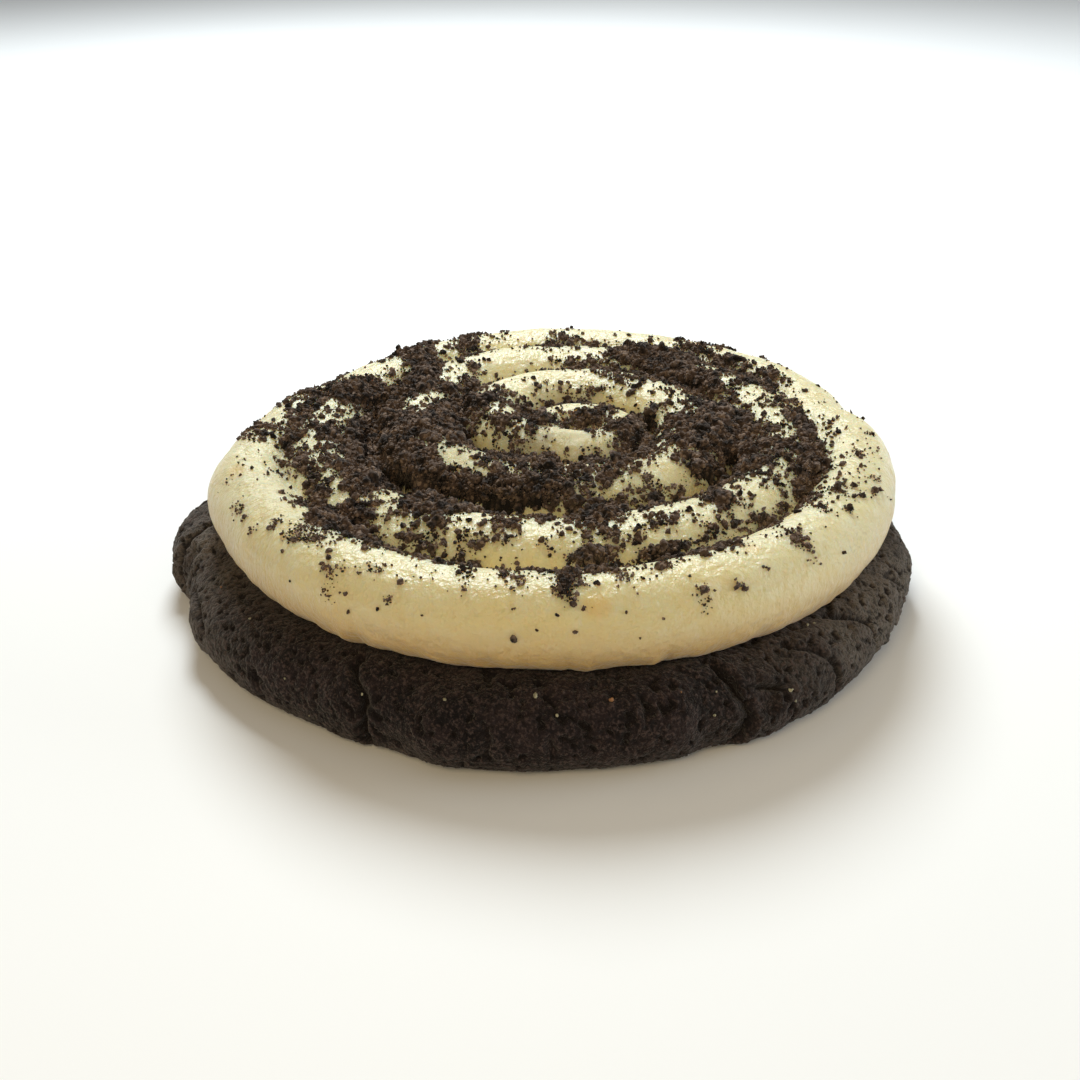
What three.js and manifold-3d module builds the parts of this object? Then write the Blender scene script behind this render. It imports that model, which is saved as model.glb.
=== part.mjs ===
// A chocolate cookie with a piped spiral of cream, strewn with chocolate cookie crumbs.
// Millimetres, +Z up. The origin is the middle of the cookie's flat underside.

import * as THREE from 'three';
import { mergeVertices } from 'three/addons/utils/BufferGeometryUtils.js';
import Module from 'manifold-3d';

const wasm = await Module();
wasm.setup();

// Driving dimensions of the cookie
const COOKIE_RADIUS = 54;
const COOKIE_THICKNESS = 10.8;
const RIM_WIDEST_Z = 4.8;
const RIM_UPPER_ROUND = 7.5;
const RIM_LOWER_ROUND = 3.9;
const RIM_LUMP = 0.42;
const COOKIE_SPOKES = 92;
const TOP_RINGS = [15, 30, 40, 44.2];
const RIM_BEGINS = 45;
const RIM_WHOLE = 51;
const LUMP_SCALE = 2.4;
const RIM_STEPS_UP = 6;
const RIM_STEPS_DOWN = 3;

// The outline's swells: how many round the rim, how high, and where they start
const OUTLINE_SWELLS = [
  { count: 3, height: 0.45, turn: 0.6 },
  { count: 7, height: 0.3, turn: 2.1 },
  { count: 13, height: 0.22, turn: 4.0 },
];

// Cracks that run in from the rim: direction in degrees, depth and width in mm
const CRACKS = [
  { direction: 185, depth: 1.7, width: 1.9 },
  { direction: 204, depth: 1.0, width: 1.3 },
  { direction: 247, depth: 1.5, width: 1.4 },
  { direction: 262, depth: 0.6, width: 1.1 },
  { direction: 283, depth: 0.6, width: 1.1 },
  { direction: 297, depth: 1.6, width: 1.6 },
  { direction: 312, depth: 0.9, width: 1.2 },
  { direction: 325, depth: 1.1, width: 1.2 },
  { direction: 338, depth: 1.1, width: 1.3 },
  { direction: 22, depth: 0.9, width: 1.3 },
  { direction: 71, depth: 1.1, width: 1.3 },
  { direction: 118, depth: 0.8, width: 1.2 },
  { direction: 152, depth: 1.2, width: 1.5 },
];

// Each crack wanders by so much, once in so many mm of height and degrees round the
// rim, opens half as far again as it is wide, cuts the top less than the side, and
// has closed again just below the floor
const CRACK_WANDER = { reach: 0.55, height: 7, degrees: 30 };
const CRACK_CLEAR_WIDTHS = 0.9;
const CRACK_TOP_SHARE = 0.6;
const CRACK_FADES_Z = -1;

// Driving dimensions of the piped rope of cream
const CREAM_CENTRE = new THREE.Vector2(1.94, 0);
const CREAM_GAP = 0.3;
const ROPE_MIDDLE_Z = 16.25;
const ROPE_HALF_HEIGHT = 5.9;
const ROPE_STEP = 4.4;
const ROPE_SIDES = 14;
const ROPE_UNEVEN = { reach: 0.22, degrees: 70 };

// The rope's loops from the outside in: each one's middle from the cream's centre,
// its half axes along the rope's crest, and the rope's half width there
const LOOPS = [
  { x: -0.4, y: 0.4, acrossX: 43.2, acrossY: 43.3, halfWidth: 6.1 },
  { x: -0.6, y: 3.1, acrossX: 34.4, acrossY: 32.1, halfWidth: 6.7 },
  { x: 0.7, y: 6.0, acrossX: 20.4, acrossY: 18.9, halfWidth: 6.6 },
  { x: 3.8, y: 5.0, acrossX: 5.6, acrossY: 4.0, halfWidth: 4.9 },
];

// Winding angle in degrees, anticlockwise from +X seen from above: where the rope
// begins and ends, and where it crosses from one loop to the next
const ROPE_BEGIN = 149;
const ROPE_END = 1318;
const CROSSINGS = [
  { from: 446, to: 545 },
  { from: 800, to: 905 },
  { from: 1148, to: 1318 },
];
const TAIL_TAPER = 27;
const TAIL_LEAST_WIDTH = 0.3;
const PIPED_TURN = 170;
const TIGHTEST_BEND = 6;

// The bed that fills the spiral reaches just inside the rope's first turn, which is
// taken from where the tail is wide enough to hide the bed's edge
const BED_SPOKES = 72;
const BED_REACH = 0.985;
const BED_BEGIN = ROPE_BEGIN + 6;

// The button of cream in the middle, where the piping ends
const BUTTON = { x: 4.1, y: 4.7, crest: 3.1, halfWidth: 4.3, top: 21.7, dimple: 1.3 };
const BUTTON_SIDES = 22;
const BUTTON_STEPS = 9;
const BUTTON_ROOT = 1;

// Clumps of crumbs: the drifts they lie in, from the cream's centre, with each
// drift's spread in mm and its share of the clumps
const DRIFTS = [
  { x: -22, y: -5, spread: 9, share: 15 },
  { x: -24, y: 14, spread: 9, share: 12 },
  { x: -30, y: 30, spread: 7, share: 11 },
  { x: -12, y: -14, spread: 6, share: 11 },
  { x: 2, y: -19, spread: 5, share: 7 },
  { x: -8, y: 22, spread: 7, share: 8 },
  { x: 2, y: 7, spread: 6, share: 8 },
  { x: 27, y: 4, spread: 7, share: 13 },
  { x: 26, y: 25, spread: 8, share: 12 },
  { x: 18, y: 38, spread: 7, share: 9 },
  { x: 38, y: -12, spread: 4, share: 6 },
  { x: -33, y: -20, spread: 3.5, share: 7 },
  { x: -14, y: -34, spread: 3, share: 4 },
  { x: 4, y: -35, spread: 3, share: 4 },
  { x: 17, y: -31, spread: 3.5, share: 5 },
  { x: -6, y: 42, spread: 6, share: 4 },
];
const CLUMP_COUNT = 172;
const CLUMP_RADIUS = { least: 0.85, most: 1.75 };
const CLUMP_CORNERS = { least: 0.72, most: 1.28 };
const CLUMP_FLATNESS = 0.8;
const CLUMP_SUNK = 0.3;
const CLUMP_SPACING = 2.6;
const CLUMP_TRIES = 12;
const CRUMB_REACH = 44;
const CRUMB_SEED = 4127;

const DEGREE = Math.PI / 180;
const CREAM_FLOOR = COOKIE_THICKNESS + CREAM_GAP;

const cookieMaterial = new THREE.MeshStandardMaterial({ color: 0x2a1d19, roughness: 0.92, metalness: 0 });
const creamMaterial = new THREE.MeshStandardMaterial({ color: 0xe6d9a8, roughness: 0.5, metalness: 0 });

// A repeatable stream of numbers from 0 to 1
function seededDraws(seed) {
  let state = seed >>> 0;
  return () => {
    state = (state + 0x6d2b79f5) >>> 0;
    let mixed = Math.imul(state ^ (state >>> 15), 1 | state);
    mixed = (mixed + Math.imul(mixed ^ (mixed >>> 7), 61 | mixed)) ^ mixed;
    return ((mixed ^ (mixed >>> 14)) >>> 0) / 4294967296;
  };
}

// A smooth lumpy value from -1 to 1 at a place, made of a few crossing waves
function lump(x, y, z, scale) {
  const a = Math.sin(x / scale + 1.7 * Math.sin(y / scale + 0.4));
  const b = Math.sin(y / scale * 1.3 + 1.2 * Math.sin(z / scale * 1.1 + 2.0));
  const c = Math.sin(z / scale * 0.9 + 1.5 * Math.sin(x / scale * 1.2 + 4.1));
  return (a + b + c) / 3;
}

function geometryFrom(positions, triangles) {
  const geometry = new THREE.BufferGeometry();
  geometry.setAttribute('position', new THREE.Float32BufferAttribute(positions, 3));
  geometry.setIndex(triangles);
  return geometry;
}

function solidFrom(geometry) {
  const bare = geometry.clone();
  bare.deleteAttribute('normal');
  bare.deleteAttribute('uv');
  const merged = mergeVertices(bare, 1e-5);
  return new wasm.Manifold(new wasm.Mesh({
    numProp: 3,
    vertProperties: new Float32Array(merged.attributes.position.array),
    triVerts: new Uint32Array(merged.index.array),
  }));
}

function geometryOf(solid) {
  const mesh = solid.getMesh();
  return geometryFrom(Array.from(mesh.vertProperties), Array.from(mesh.triVerts));
}

// Skins closed rings of points, one after another, and shuts both ends with a fan
function skinRings(rings, firstPole, lastPole) {
  const positions = [];
  const triangles = [];
  const sides = rings[0].length;
  for (const ring of rings) {
    for (const point of ring) {
      positions.push(point.x, point.y, point.z);
    }
  }
  for (let i = 0; i + 1 < rings.length; i++) {
    for (let j = 0; j < sides; j++) {
      const next = (j + 1) % sides;
      const a = i * sides + j;
      const b = i * sides + next;
      triangles.push(a, b, b + sides, a, b + sides, a + sides);
    }
  }
  const first = rings.length * sides;
  positions.push(firstPole.x, firstPole.y, firstPole.z);
  positions.push(lastPole.x, lastPole.y, lastPole.z);
  for (let j = 0; j < sides; j++) {
    const next = (j + 1) % sides;
    triangles.push(first, next, j);
    triangles.push(first + 1, first - sides + j, first - sides + next);
  }
  return geometryFrom(positions, triangles);
}

// The spokes of the cookie's grid: even ones, and three close together at each crack
function spokeDirections() {
  const directions = [];
  for (let i = 0; i < COOKIE_SPOKES; i++) {
    const even = (i * 360) / COOKIE_SPOKES;
    const away = (crack) => Math.abs(((even - crack.direction + 540) % 360) - 180);
    const clear = (crack) => (CRACK_CLEAR_WIDTHS * crack.width) / COOKIE_RADIUS / DEGREE;
    if (CRACKS.every((crack) => away(crack) > clear(crack))) {
      directions.push(even);
    }
  }
  for (const crack of CRACKS) {
    const half = (crack.width / 2 / COOKIE_RADIUS) / DEGREE;
    directions.push(crack.direction - half, crack.direction, crack.direction + half);
  }
  return directions.map((value) => (value + 360) % 360).sort((a, b) => a - b);
}

// A crack is deepest near the rim's widest height, and fades out towards the floor
function crackDepth(direction, z) {
  const crack = CRACKS.find((one) => Math.abs(one.direction - direction) < 1e-6);
  const fade = THREE.MathUtils.smoothstep(z, CRACK_FADES_Z, RIM_WIDEST_Z);
  return crack ? crack.depth * fade : 0;
}

// The spokes bend a little from step to step, so that no crack runs straight
function spokeBend(direction, z) {
  const waves = z / CRACK_WANDER.height + direction / CRACK_WANDER.degrees;
  return (CRACK_WANDER.reach * Math.sin(2 * Math.PI * waves)) / COOKIE_RADIUS / DEGREE;
}

function outlineSwell(direction) {
  let swell = 0;
  for (const wave of OUTLINE_SWELLS) {
    swell += wave.height * Math.sin(wave.count * direction * DEGREE + wave.turn);
  }
  return swell;
}

// The rim's profile from the top's edge to the underside's edge, as steps of
// radius and height on two quarter ellipses
function rimProfile() {
  const profile = [];
  for (let i = 1; i <= RIM_STEPS_UP; i++) {
    const turn = (Math.PI / 2) * (1 - i / RIM_STEPS_UP);
    profile.push({
      radius: COOKIE_RADIUS - RIM_UPPER_ROUND * (1 - Math.cos(turn)),
      z: RIM_WIDEST_Z + (COOKIE_THICKNESS - RIM_WIDEST_Z) * Math.sin(turn),
    });
  }
  for (let i = 1; i <= RIM_STEPS_DOWN; i++) {
    const turn = (Math.PI / 2) * (i / RIM_STEPS_DOWN);
    profile.push({
      radius: COOKIE_RADIUS - RIM_LOWER_ROUND * (1 - Math.cos(turn)),
      z: RIM_WIDEST_Z * (1 - Math.sin(turn)),
    });
  }
  return profile;
}

// The cookie: flat below, flat under the cream, with a lumpy, cracked, rounded rim
function makeCookie() {
  const rim = rimProfile();
  const flatTop = TOP_RINGS.map((radius) => ({ radius, z: COOKIE_THICKNESS }));
  const directions = spokeDirections();
  const rings = [];
  for (const step of [...flatTop, ...rim]) {
    const outward = THREE.MathUtils.smoothstep(step.radius, RIM_BEGINS, RIM_WHOLE);
    const upper = THREE.MathUtils.smoothstep(step.z, RIM_WIDEST_Z, COOKIE_THICKNESS);
    const ring = directions.map((direction) => {
      const bent = (direction + spokeBend(direction, step.z) * outward) * DEGREE;
      const x = Math.cos(bent);
      const y = Math.sin(bent);
      const bump = RIM_LUMP * outward * lump(x * step.radius, y * step.radius, step.z, LUMP_SCALE);
      const cut = crackDepth(direction, step.z) * outward;
      const swell = outlineSwell(direction) * (step.radius / COOKIE_RADIUS);
      const radius = step.radius + swell + bump - cut;
      const z = step.z + upper * (bump - cut * CRACK_TOP_SHARE);
      return new THREE.Vector3(x * radius, y * radius, Math.min(z, COOKIE_THICKNESS));
    });
    rings.push(ring.reverse());
  }
  const top = new THREE.Vector3(0, 0, COOKIE_THICKNESS);
  const bottom = new THREE.Vector3(0, 0, 0);
  return solidFrom(skinRings(rings, top, bottom));
}

// The loop that the rope follows at a winding angle, blended where it crosses over
function loopAt(angle) {
  let progress = 0;
  for (const crossing of CROSSINGS) {
    progress += THREE.MathUtils.smoothstep(angle, crossing.from, crossing.to);
  }
  const index = Math.min(Math.floor(progress), LOOPS.length - 2);
  const share = progress - index;
  const blended = {};
  for (const key of Object.keys(LOOPS[0])) {
    blended[key] = THREE.MathUtils.lerp(LOOPS[index][key], LOOPS[index + 1][key], share);
  }
  return blended;
}

function crestAt(angle) {
  const loop = loopAt(angle);
  return new THREE.Vector2(
    CREAM_CENTRE.x + loop.x + loop.acrossX * Math.cos(angle * DEGREE),
    CREAM_CENTRE.y + loop.y + loop.acrossY * Math.sin(angle * DEGREE),
  );
}

// Winding angles a rope's step apart, from one angle to another
function ropeAngles(from, to) {
  const angles = [from];
  let angle = from;
  while (angle < to) {
    const loop = loopAt(angle);
    const radius = Math.max((loop.acrossX + loop.acrossY) / 2, TIGHTEST_BEND);
    angle += ROPE_STEP / radius / DEGREE;
    angles.push(Math.min(angle, to));
  }
  return angles;
}

// The rope's half width at a winding angle: slightly uneven, and thin at the tail
function ropeHalfWidth(angle) {
  const begun = Math.min((angle - ROPE_BEGIN) / TAIL_TAPER, 1);
  const taper = Math.max(Math.sqrt(1 - (1 - begun) ** 2), TAIL_LEAST_WIDTH);
  const uneven = ROPE_UNEVEN.reach * Math.sin((2 * Math.PI * angle) / ROPE_UNEVEN.degrees);
  return (loopAt(angle).halfWidth + uneven) * taper;
}

// One section across the rope: round above and at its sides, flat where it lies
function ropeSection(angle) {
  const crest = crestAt(angle);
  const ahead = crestAt(angle + 0.5).sub(crestAt(angle - 0.5)).normalize();
  const half = ropeHalfWidth(angle);
  const low = ROPE_HALF_HEIGHT * Math.min(half / loopAt(angle).halfWidth, 1);
  const section = [];
  for (let i = 0; i < ROPE_SIDES; i++) {
    const turn = (i / ROPE_SIDES) * Math.PI * 2 + Math.PI / ROPE_SIDES;
    const out = half * Math.cos(turn);
    const z = Math.max(ROPE_MIDDLE_Z + low * Math.sin(turn), CREAM_FLOOR);
    section.push(new THREE.Vector3(crest.x - ahead.y * out, crest.y + ahead.x * out, z));
  }
  return section;
}

function ropeLength(from, to) {
  const angles = ropeAngles(from, to);
  const rings = angles.map(ropeSection);
  const middle = (angle) => {
    const crest = crestAt(angle);
    return new THREE.Vector3(crest.x, crest.y, ROPE_MIDDLE_Z);
  };
  return solidFrom(skinRings(rings, middle(from), middle(to)));
}

// The rope is piped a little under half a turn at a time, and these are then joined
function makeRope() {
  const lengths = [];
  for (let from = ROPE_BEGIN; from < ROPE_END; from += PIPED_TURN) {
    lengths.push(ropeLength(from, Math.min(from + PIPED_TURN, ROPE_END)));
  }
  return wasm.Manifold.union(lengths);
}

// Cream pressed flat between the loops: it fills the spiral up to the rope's middle
function makeCreamBed() {
  const top = [];
  const bottom = [];
  for (let i = 0; i < BED_SPOKES; i++) {
    const direction = (i * 360) / BED_SPOKES;
    const angle = direction > BED_BEGIN ? direction : direction + 360;
    const crest = crestAt(angle).sub(CREAM_CENTRE).multiplyScalar(BED_REACH).add(CREAM_CENTRE);
    top.push(new THREE.Vector3(crest.x, crest.y, ROPE_MIDDLE_Z));
    bottom.push(new THREE.Vector3(crest.x, crest.y, CREAM_FLOOR));
  }
  const topPole = new THREE.Vector3(CREAM_CENTRE.x, CREAM_CENTRE.y, ROPE_MIDDLE_Z);
  const bottomPole = new THREE.Vector3(CREAM_CENTRE.x, CREAM_CENTRE.y, CREAM_FLOOR);
  return solidFrom(skinRings([top.reverse(), bottom.reverse()], topPole, bottomPole));
}

// The button: a low dome with a dimple, turned about its own axis
function makeButton() {
  const root = CREAM_FLOOR + BUTTON_ROOT;
  const profile = [new THREE.Vector2(0, root)];
  profile.push(new THREE.Vector2(BUTTON.crest + BUTTON.halfWidth, root));
  for (let i = 0; i <= BUTTON_STEPS; i++) {
    const turn = (i / BUTTON_STEPS) * (Math.PI / 2);
    const radius = BUTTON.crest + BUTTON.halfWidth * Math.cos(turn);
    const z = ROPE_MIDDLE_Z + (BUTTON.top - ROPE_MIDDLE_Z) * Math.sin(turn);
    profile.push(new THREE.Vector2(radius, z));
  }
  profile.push(new THREE.Vector2(BUTTON.crest / 2, BUTTON.top - BUTTON.dimple / Math.SQRT2));
  profile.push(new THREE.Vector2(0, BUTTON.top - BUTTON.dimple));
  const button = new THREE.LatheGeometry(profile, BUTTON_SIDES);
  button.rotateX(Math.PI / 2);
  button.translate(CREAM_CENTRE.x + BUTTON.x, CREAM_CENTRE.y + BUTTON.y, 0);
  return solidFrom(button);
}

// The height of the cream's top at a place, from the rope's sections near it
function creamTopAt(place, samples) {
  let z = ROPE_MIDDLE_Z;
  for (const sample of samples) {
    const away = place.distanceTo(sample.crest) / sample.half;
    if (away < 1) {
      z = Math.max(z, ROPE_MIDDLE_Z + ROPE_HALF_HEIGHT * Math.sqrt(1 - away * away));
    }
  }
  const button = new THREE.Vector2(CREAM_CENTRE.x + BUTTON.x, CREAM_CENTRE.y + BUTTON.y);
  if (place.distanceTo(button) < BUTTON.crest) {
    z = Math.max(z, BUTTON.top - BUTTON.dimple / 2);
  }
  return z;
}

// One angular clump: a low-sided ball, pushed in and out at its corners
function makeClump(place, z, radius, draw) {
  const ball = new THREE.IcosahedronGeometry(radius, 0);
  ball.deleteAttribute('normal');
  ball.deleteAttribute('uv');
  const clump = mergeVertices(ball, 1e-4);
  const corners = clump.attributes.position;
  for (let i = 0; i < corners.count; i++) {
    const push = THREE.MathUtils.lerp(CLUMP_CORNERS.least, CLUMP_CORNERS.most, draw());
    const height = push * CLUMP_FLATNESS;
    corners.setXYZ(i, corners.getX(i) * push, corners.getY(i) * push, corners.getZ(i) * height);
  }
  clump.rotateZ(draw() * Math.PI * 2);
  clump.translate(place.x, place.y, z);
  return solidFrom(clump);
}

// A pair of draws from a bell curve
function bellPair(draw) {
  const radius = Math.sqrt(-2 * Math.log(1 - draw()));
  const turn = draw() * Math.PI * 2;
  return new THREE.Vector2(radius * Math.cos(turn), radius * Math.sin(turn));
}

// Clumps in each drift, the largest first, kept apart and off the rope's outer side
function makeClumps() {
  const draw = seededDraws(CRUMB_SEED);
  const shares = DRIFTS.reduce((sum, drift) => sum + drift.share, 0);
  const samples = ropeAngles(ROPE_BEGIN, ROPE_END).map((angle) => ({
    crest: crestAt(angle),
    half: ropeHalfWidth(angle),
  }));
  const clumps = [];
  const taken = [];
  for (const drift of DRIFTS) {
    const count = Math.round((CLUMP_COUNT * drift.share) / shares);
    for (let i = 0, tries = 0; i < count && tries < count * CLUMP_TRIES; tries++) {
      const place = bellPair(draw).multiplyScalar(drift.spread);
      place.add(new THREE.Vector2(drift.x, drift.y)).add(CREAM_CENTRE);
      const size = 1 - i / count;
      const radius = THREE.MathUtils.lerp(CLUMP_RADIUS.least, CLUMP_RADIUS.most, size * size);
      const clear = taken.every((other) => other.distanceTo(place) > CLUMP_SPACING);
      if (place.distanceTo(CREAM_CENTRE) < CRUMB_REACH && clear) {
        const z = creamTopAt(place, samples) - radius * CLUMP_SUNK;
        clumps.push(makeClump(place, z, radius, draw));
        taken.push(place);
        i += 1;
      }
    }
  }
  return clumps;
}

// The cream with its crumbs is one body, and anything that came loose is dropped
function makeCream() {
  const whole = wasm.Manifold.union([makeRope(), makeCreamBed(), makeButton(), ...makeClumps()]);
  const bodies = whole.decompose();
  return bodies.reduce((largest, body) => (body.volume() > largest.volume() ? body : largest));
}

function namedMesh(name, solid, material) {
  const mesh = new THREE.Mesh(geometryOf(solid), material);
  mesh.name = name;
  return mesh;
}

const cookie = new THREE.Group();
cookie.add(namedMesh('cookie_base', makeCookie(), cookieMaterial));
cookie.add(namedMesh('cream_spiral', makeCream(), creamMaterial));

export default cookie;
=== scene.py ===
import itertools
import math

import bmesh
import bpy
import numpy as np
from bpy.props import FloatProperty, FloatVectorProperty, IntProperty, PointerProperty
from mathutils import Matrix, Vector


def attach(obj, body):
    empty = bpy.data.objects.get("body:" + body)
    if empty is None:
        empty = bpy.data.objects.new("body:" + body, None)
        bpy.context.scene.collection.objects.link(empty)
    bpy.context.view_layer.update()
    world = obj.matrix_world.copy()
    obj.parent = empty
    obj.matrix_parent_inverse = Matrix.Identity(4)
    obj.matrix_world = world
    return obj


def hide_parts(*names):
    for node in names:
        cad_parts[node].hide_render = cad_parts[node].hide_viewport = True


bl_info = {
    "name": "Frosted Chocolate Cookie",
    "version": (1, 0, 0),
    "blender": (4, 5, 0),
    "location": "3D View > Sidebar > Cookie",
    "description": "Builds a chocolate cookie with a piped spiral of cream and cookie crumbs",
    "category": "Object",
}

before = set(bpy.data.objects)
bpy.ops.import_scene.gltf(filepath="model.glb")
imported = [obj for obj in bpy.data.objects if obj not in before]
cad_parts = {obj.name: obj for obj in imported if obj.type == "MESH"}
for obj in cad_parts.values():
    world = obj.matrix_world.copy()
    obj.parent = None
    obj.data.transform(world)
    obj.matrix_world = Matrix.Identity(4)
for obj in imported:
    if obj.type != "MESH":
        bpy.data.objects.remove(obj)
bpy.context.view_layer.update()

MM = 0.001
DEGREE = math.pi / 180

# The cookie's outline: how many swells round the rim, how high, and where they start
OUTLINE_SWELLS = ((3, 0.45 * MM, 0.6), (7, 0.3 * MM, 2.1), (13, 0.22 * MM, 4.0))
# Flats and bulges of the outline: direction, half reach in degrees, mm outwards
OUTLINE_FLATS = (
    (242, 11, -1.9), (249.5, 4, -0.5), (184, 9, 1.2), (199, 6, -0.9), (4, 14, -1.7), (268, 13, -0.7),
    (293, 3.5, -1.2), (305, 4.5, 0.3), (314, 7, 0.4), (327, 5, 0.1),
)
# How far in the rim's lower rounding ends
RIM_LOWER_ROUND = 3.9 * MM

# The cookie's mesh: points round the rim, and their distance down it. Each coarser ring of
# its hidden top and underside is a share of those points and a radius in mm
RIM_SPOKES = 1344
RIM_STEP = 0.28 * MM
HIDDEN_TOP = ((0.125, 9), (0.25, 20), (0.5, 32), (1, 41))
UNDERSIDE = ((0.5, 46), (0.25, 30), (0.125, 12))
FINE_TOP_FROM = 44 * MM
# The relief fades in over these radii of the top and heights of the rim, and it may rise
# above the flat top by RIM_RISE, which fades in over its own radii
RELIEF_RADII, RELIEF_HEIGHTS = (44.5 * MM, 47.3 * MM), (0.0, 1.2 * MM)
RIM_RISE, RISE_RADII = 0.3 * MM, (46 * MM, 48.5 * MM)

# Cracks in the rim. Each path's places are a direction in degrees and a length down
# the rim from its upper edge in mm; then come the crack's depth and half width in mm
CRACKS = (
    (((241.3, 1.3), (241.6, 3.4), (242.7, 5.2), (244.4, 6.8)), 1.5, 0.4),
    (((243.0, 5.6), (244.7, 7.0), (245.3, 8.8), (244.8, 11.5), (245.8, 15)), 1.9, 0.48),
    (((294.8, 2.6), (296.2, 5.6), (296.9, 8.0), (297.4, 10.4), (295.8, 14)), 1.9, 0.6),
    (((296.2, 5.8), (298.6, 6.0), (301.4, 6.9), (304.6, 8.6)), 0.8, 0.35),
    (((307.0, 2.8), (310.4, 5.0), (313.2, 8.2), (313.6, 12.5)), 0.8, 0.38),
    (((317.2, 1.8), (320.9, 3.8), (324.3, 6.7), (325.6, 12.3)), 1.2, 0.42),
    (((200.2, 8.8), (203.6, 7.4), (207.8, 7.4), (212.4, 9.6)), 0.9, 0.5),
    (((187.0, 1.0), (189.5, 4.0), (190.6, 8.0), (193.6, 13)), 1.7, 0.55),
    (((176.0, 3.0), (178.0, 7.0), (176.4, 12)), 1.2, 0.45),
    (((262.4, 7.2), (263.0, 9.4), (262.2, 12)), 0.7, 0.35),
    (((270.2, 8.6), (270.8, 11.2)), 0.6, 0.35),
    (((283.4, 5.4), (283.0, 7.6)), 0.7, 0.4),
    (((226.0, 9.0), (227.4, 12.0), (226.6, 14)), 0.6, 0.4),
    (((336.0, 4.0), (338.6, 8.0), (338.0, 13)), 1.1, 0.42),
    (((357.0, 2.2), (358.2, 6.0), (354.8, 11)), 0.9, 0.4),
    (((20.0, 3.0), (22.6, 7.4), (21.4, 13)), 1.2, 0.45),
    (((44.0, 4.0), (47.0, 6.8), (52.0, 7.8)), 0.8, 0.4),
    (((69.0, 2.0), (71.8, 6.4), (70.4, 13)), 1.3, 0.45),
    (((95.0, 6.0), (97.4, 9.0), (96.2, 14)), 0.8, 0.4),
    (((116.4, 3.2), (118.6, 8.0), (117.0, 13)), 1.1, 0.42),
    (((136.0, 5.0), (140.4, 6.2), (143.0, 9.6)), 0.8, 0.4),
    (((150.4, 1.6), (152.8, 6.0), (151.6, 13)), 1.4, 0.48),
)

# Pieces of crust that have sunk: direction, length down, half sizes in mm, depth in mm
SUNK_CRUST = (
    (300.0, 8.6, 2.6, 2.2, 1.0),
    (192.5, 8.5, 2.6, 3.6, 0.55),
    (328.0, 8.5, 2.6, 3.0, 0.45),
    (74.0, 8.0, 2.4, 2.6, 0.5),
)

# Wrinkled stretches of the rim: middle direction, half reach in degrees, strength. The strength also sets
# the pale dry crust there, which is partly painted sheen
WRINKLED = ((196, 20, 0.62), (336, 22, 1.15), (12, 16, 0.6), (108, 26, 0.6), (58, 14, 0.45))

# Pale specks on the rim: direction, length down in mm, size in mm
PALE_SPECKS = (
    (220.0, 3.6, 0.34), (244.6, 6.9, 0.34), (256.7, 4.6, 0.4), (268.7, 3.6, 0.66), (292.6, 9.0, 0.36),
    (304.0, 8.3, 0.62), (304.6, 9.9, 0.4), (313.4, 2.0, 0.4), (314.6, 2.3, 0.46), (312.3, 2.5, 0.36),
    (293.6, 6.3, 0.36), (271.6, 6.2, 0.5), (232.0, 8.2, 0.3), (284.6, 11.4, 0.34), (236.0, 12.4, 0.28),
)
BROWN_SPECKS = ((279.0, 4.9, 0.6), (288.4, 4.8, 0.34), (209.0, 3.0, 0.3))
SPECK_TINTS = {"pale_specks": (0.4, 0.37, 0.24), "brown_specks": (0.34, 0.16, 0.06)}
# How large a speck's lump is for each mm of its size, and the first one's seed
SPECK_SCALE, SPECK_SEED = 0.85 * MM, 300

# The rope's loops from the outside in, in mm from the cream's centre: each one's
# middle, its half axes along the crest and the rope's half width
LOOPS = (
    (-0.4, 0.4, 43.2, 43.3, 6.1),
    (-0.6, 3.1, 34.4, 32.1, 6.7),
    (0.7, 6.0, 20.4, 18.9, 6.6),
    (3.8, 5.0, 5.9, 5.2, 4.9),
)
# The cream's centre in mm
CREAM_CENTRE = (1.94, 0.0)

# A place along the rope is an angle in degrees that grows inwards, turn after turn. Over
# each of the CROSSINGS the rope passes from one loop to the next, and its tail tapers
ROPE_BEGIN, ROPE_END = 149, 1640
CROSSINGS = ((446, 545), (800, 905), (1148, 1318))
TAIL_TAPER = 27

# The level of the rope's middle, its height above that, and in mm the distance of the
# places where it is laid and how much its half width sways in so many degrees
ROPE_MIDDLE_Z = 16.25 * MM
ROPE_HALF_HEIGHT = 5.9 * MM
ROPE_STEP = 0.4
ROPE_UNEVEN, UNEVEN_DEGREES = 0.22, 70

# The outermost turn leans on the second one between these two angles, where the tail
# begins and where it is whole; its crest has about this radius in mm
OUTER_TURN_BEGINS, OUTER_TURN_WHOLE = 149, 185
OUTER_RADIUS = 43

# Flats and bulges of the outermost turn: direction, half reach in degrees, mm outwards
OUTER_FLATS = ((169, 11, -2.2), (193, 7, 0.8), (14, 6, -1.6), (40, 14, 0.6))

# The rope's last turn closes to a button with a dimple: its place from the cream's centre
# and its reach in mm, and the level of its floor
DIMPLE_PLACE, DIMPLE_REACH = (4.0, 5.0), 4.2
DIMPLE_Z = 20.1 * MM

# The square grid that holds the cream's heights: its step, and half its width
FIELD_STEP, FIELD_REACH = 0.12 * MM, 54 * MM

# The cream's mesh: rays from a middle that is set off from the cream's centre, in mm, the
# places that each ray's profile is measured at, and rings that keep only every so many
# points within so many mm. Then come the rings down the outer turn, and those of the
# underside: every how many points they keep, and their share of the foot's width
CREAM_RAYS = 720
RINGS_MIDDLE = (3.0, 5.0)
PROFILE_PLACES = 700
THINNED_WITHIN = ((5, 8), (11, 4), (23, 2))
OUTER_RINGS = 38
CREAM_UNDERSIDE = ((2, 0.8), (4, 0.55), (8, 0.3))
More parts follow.
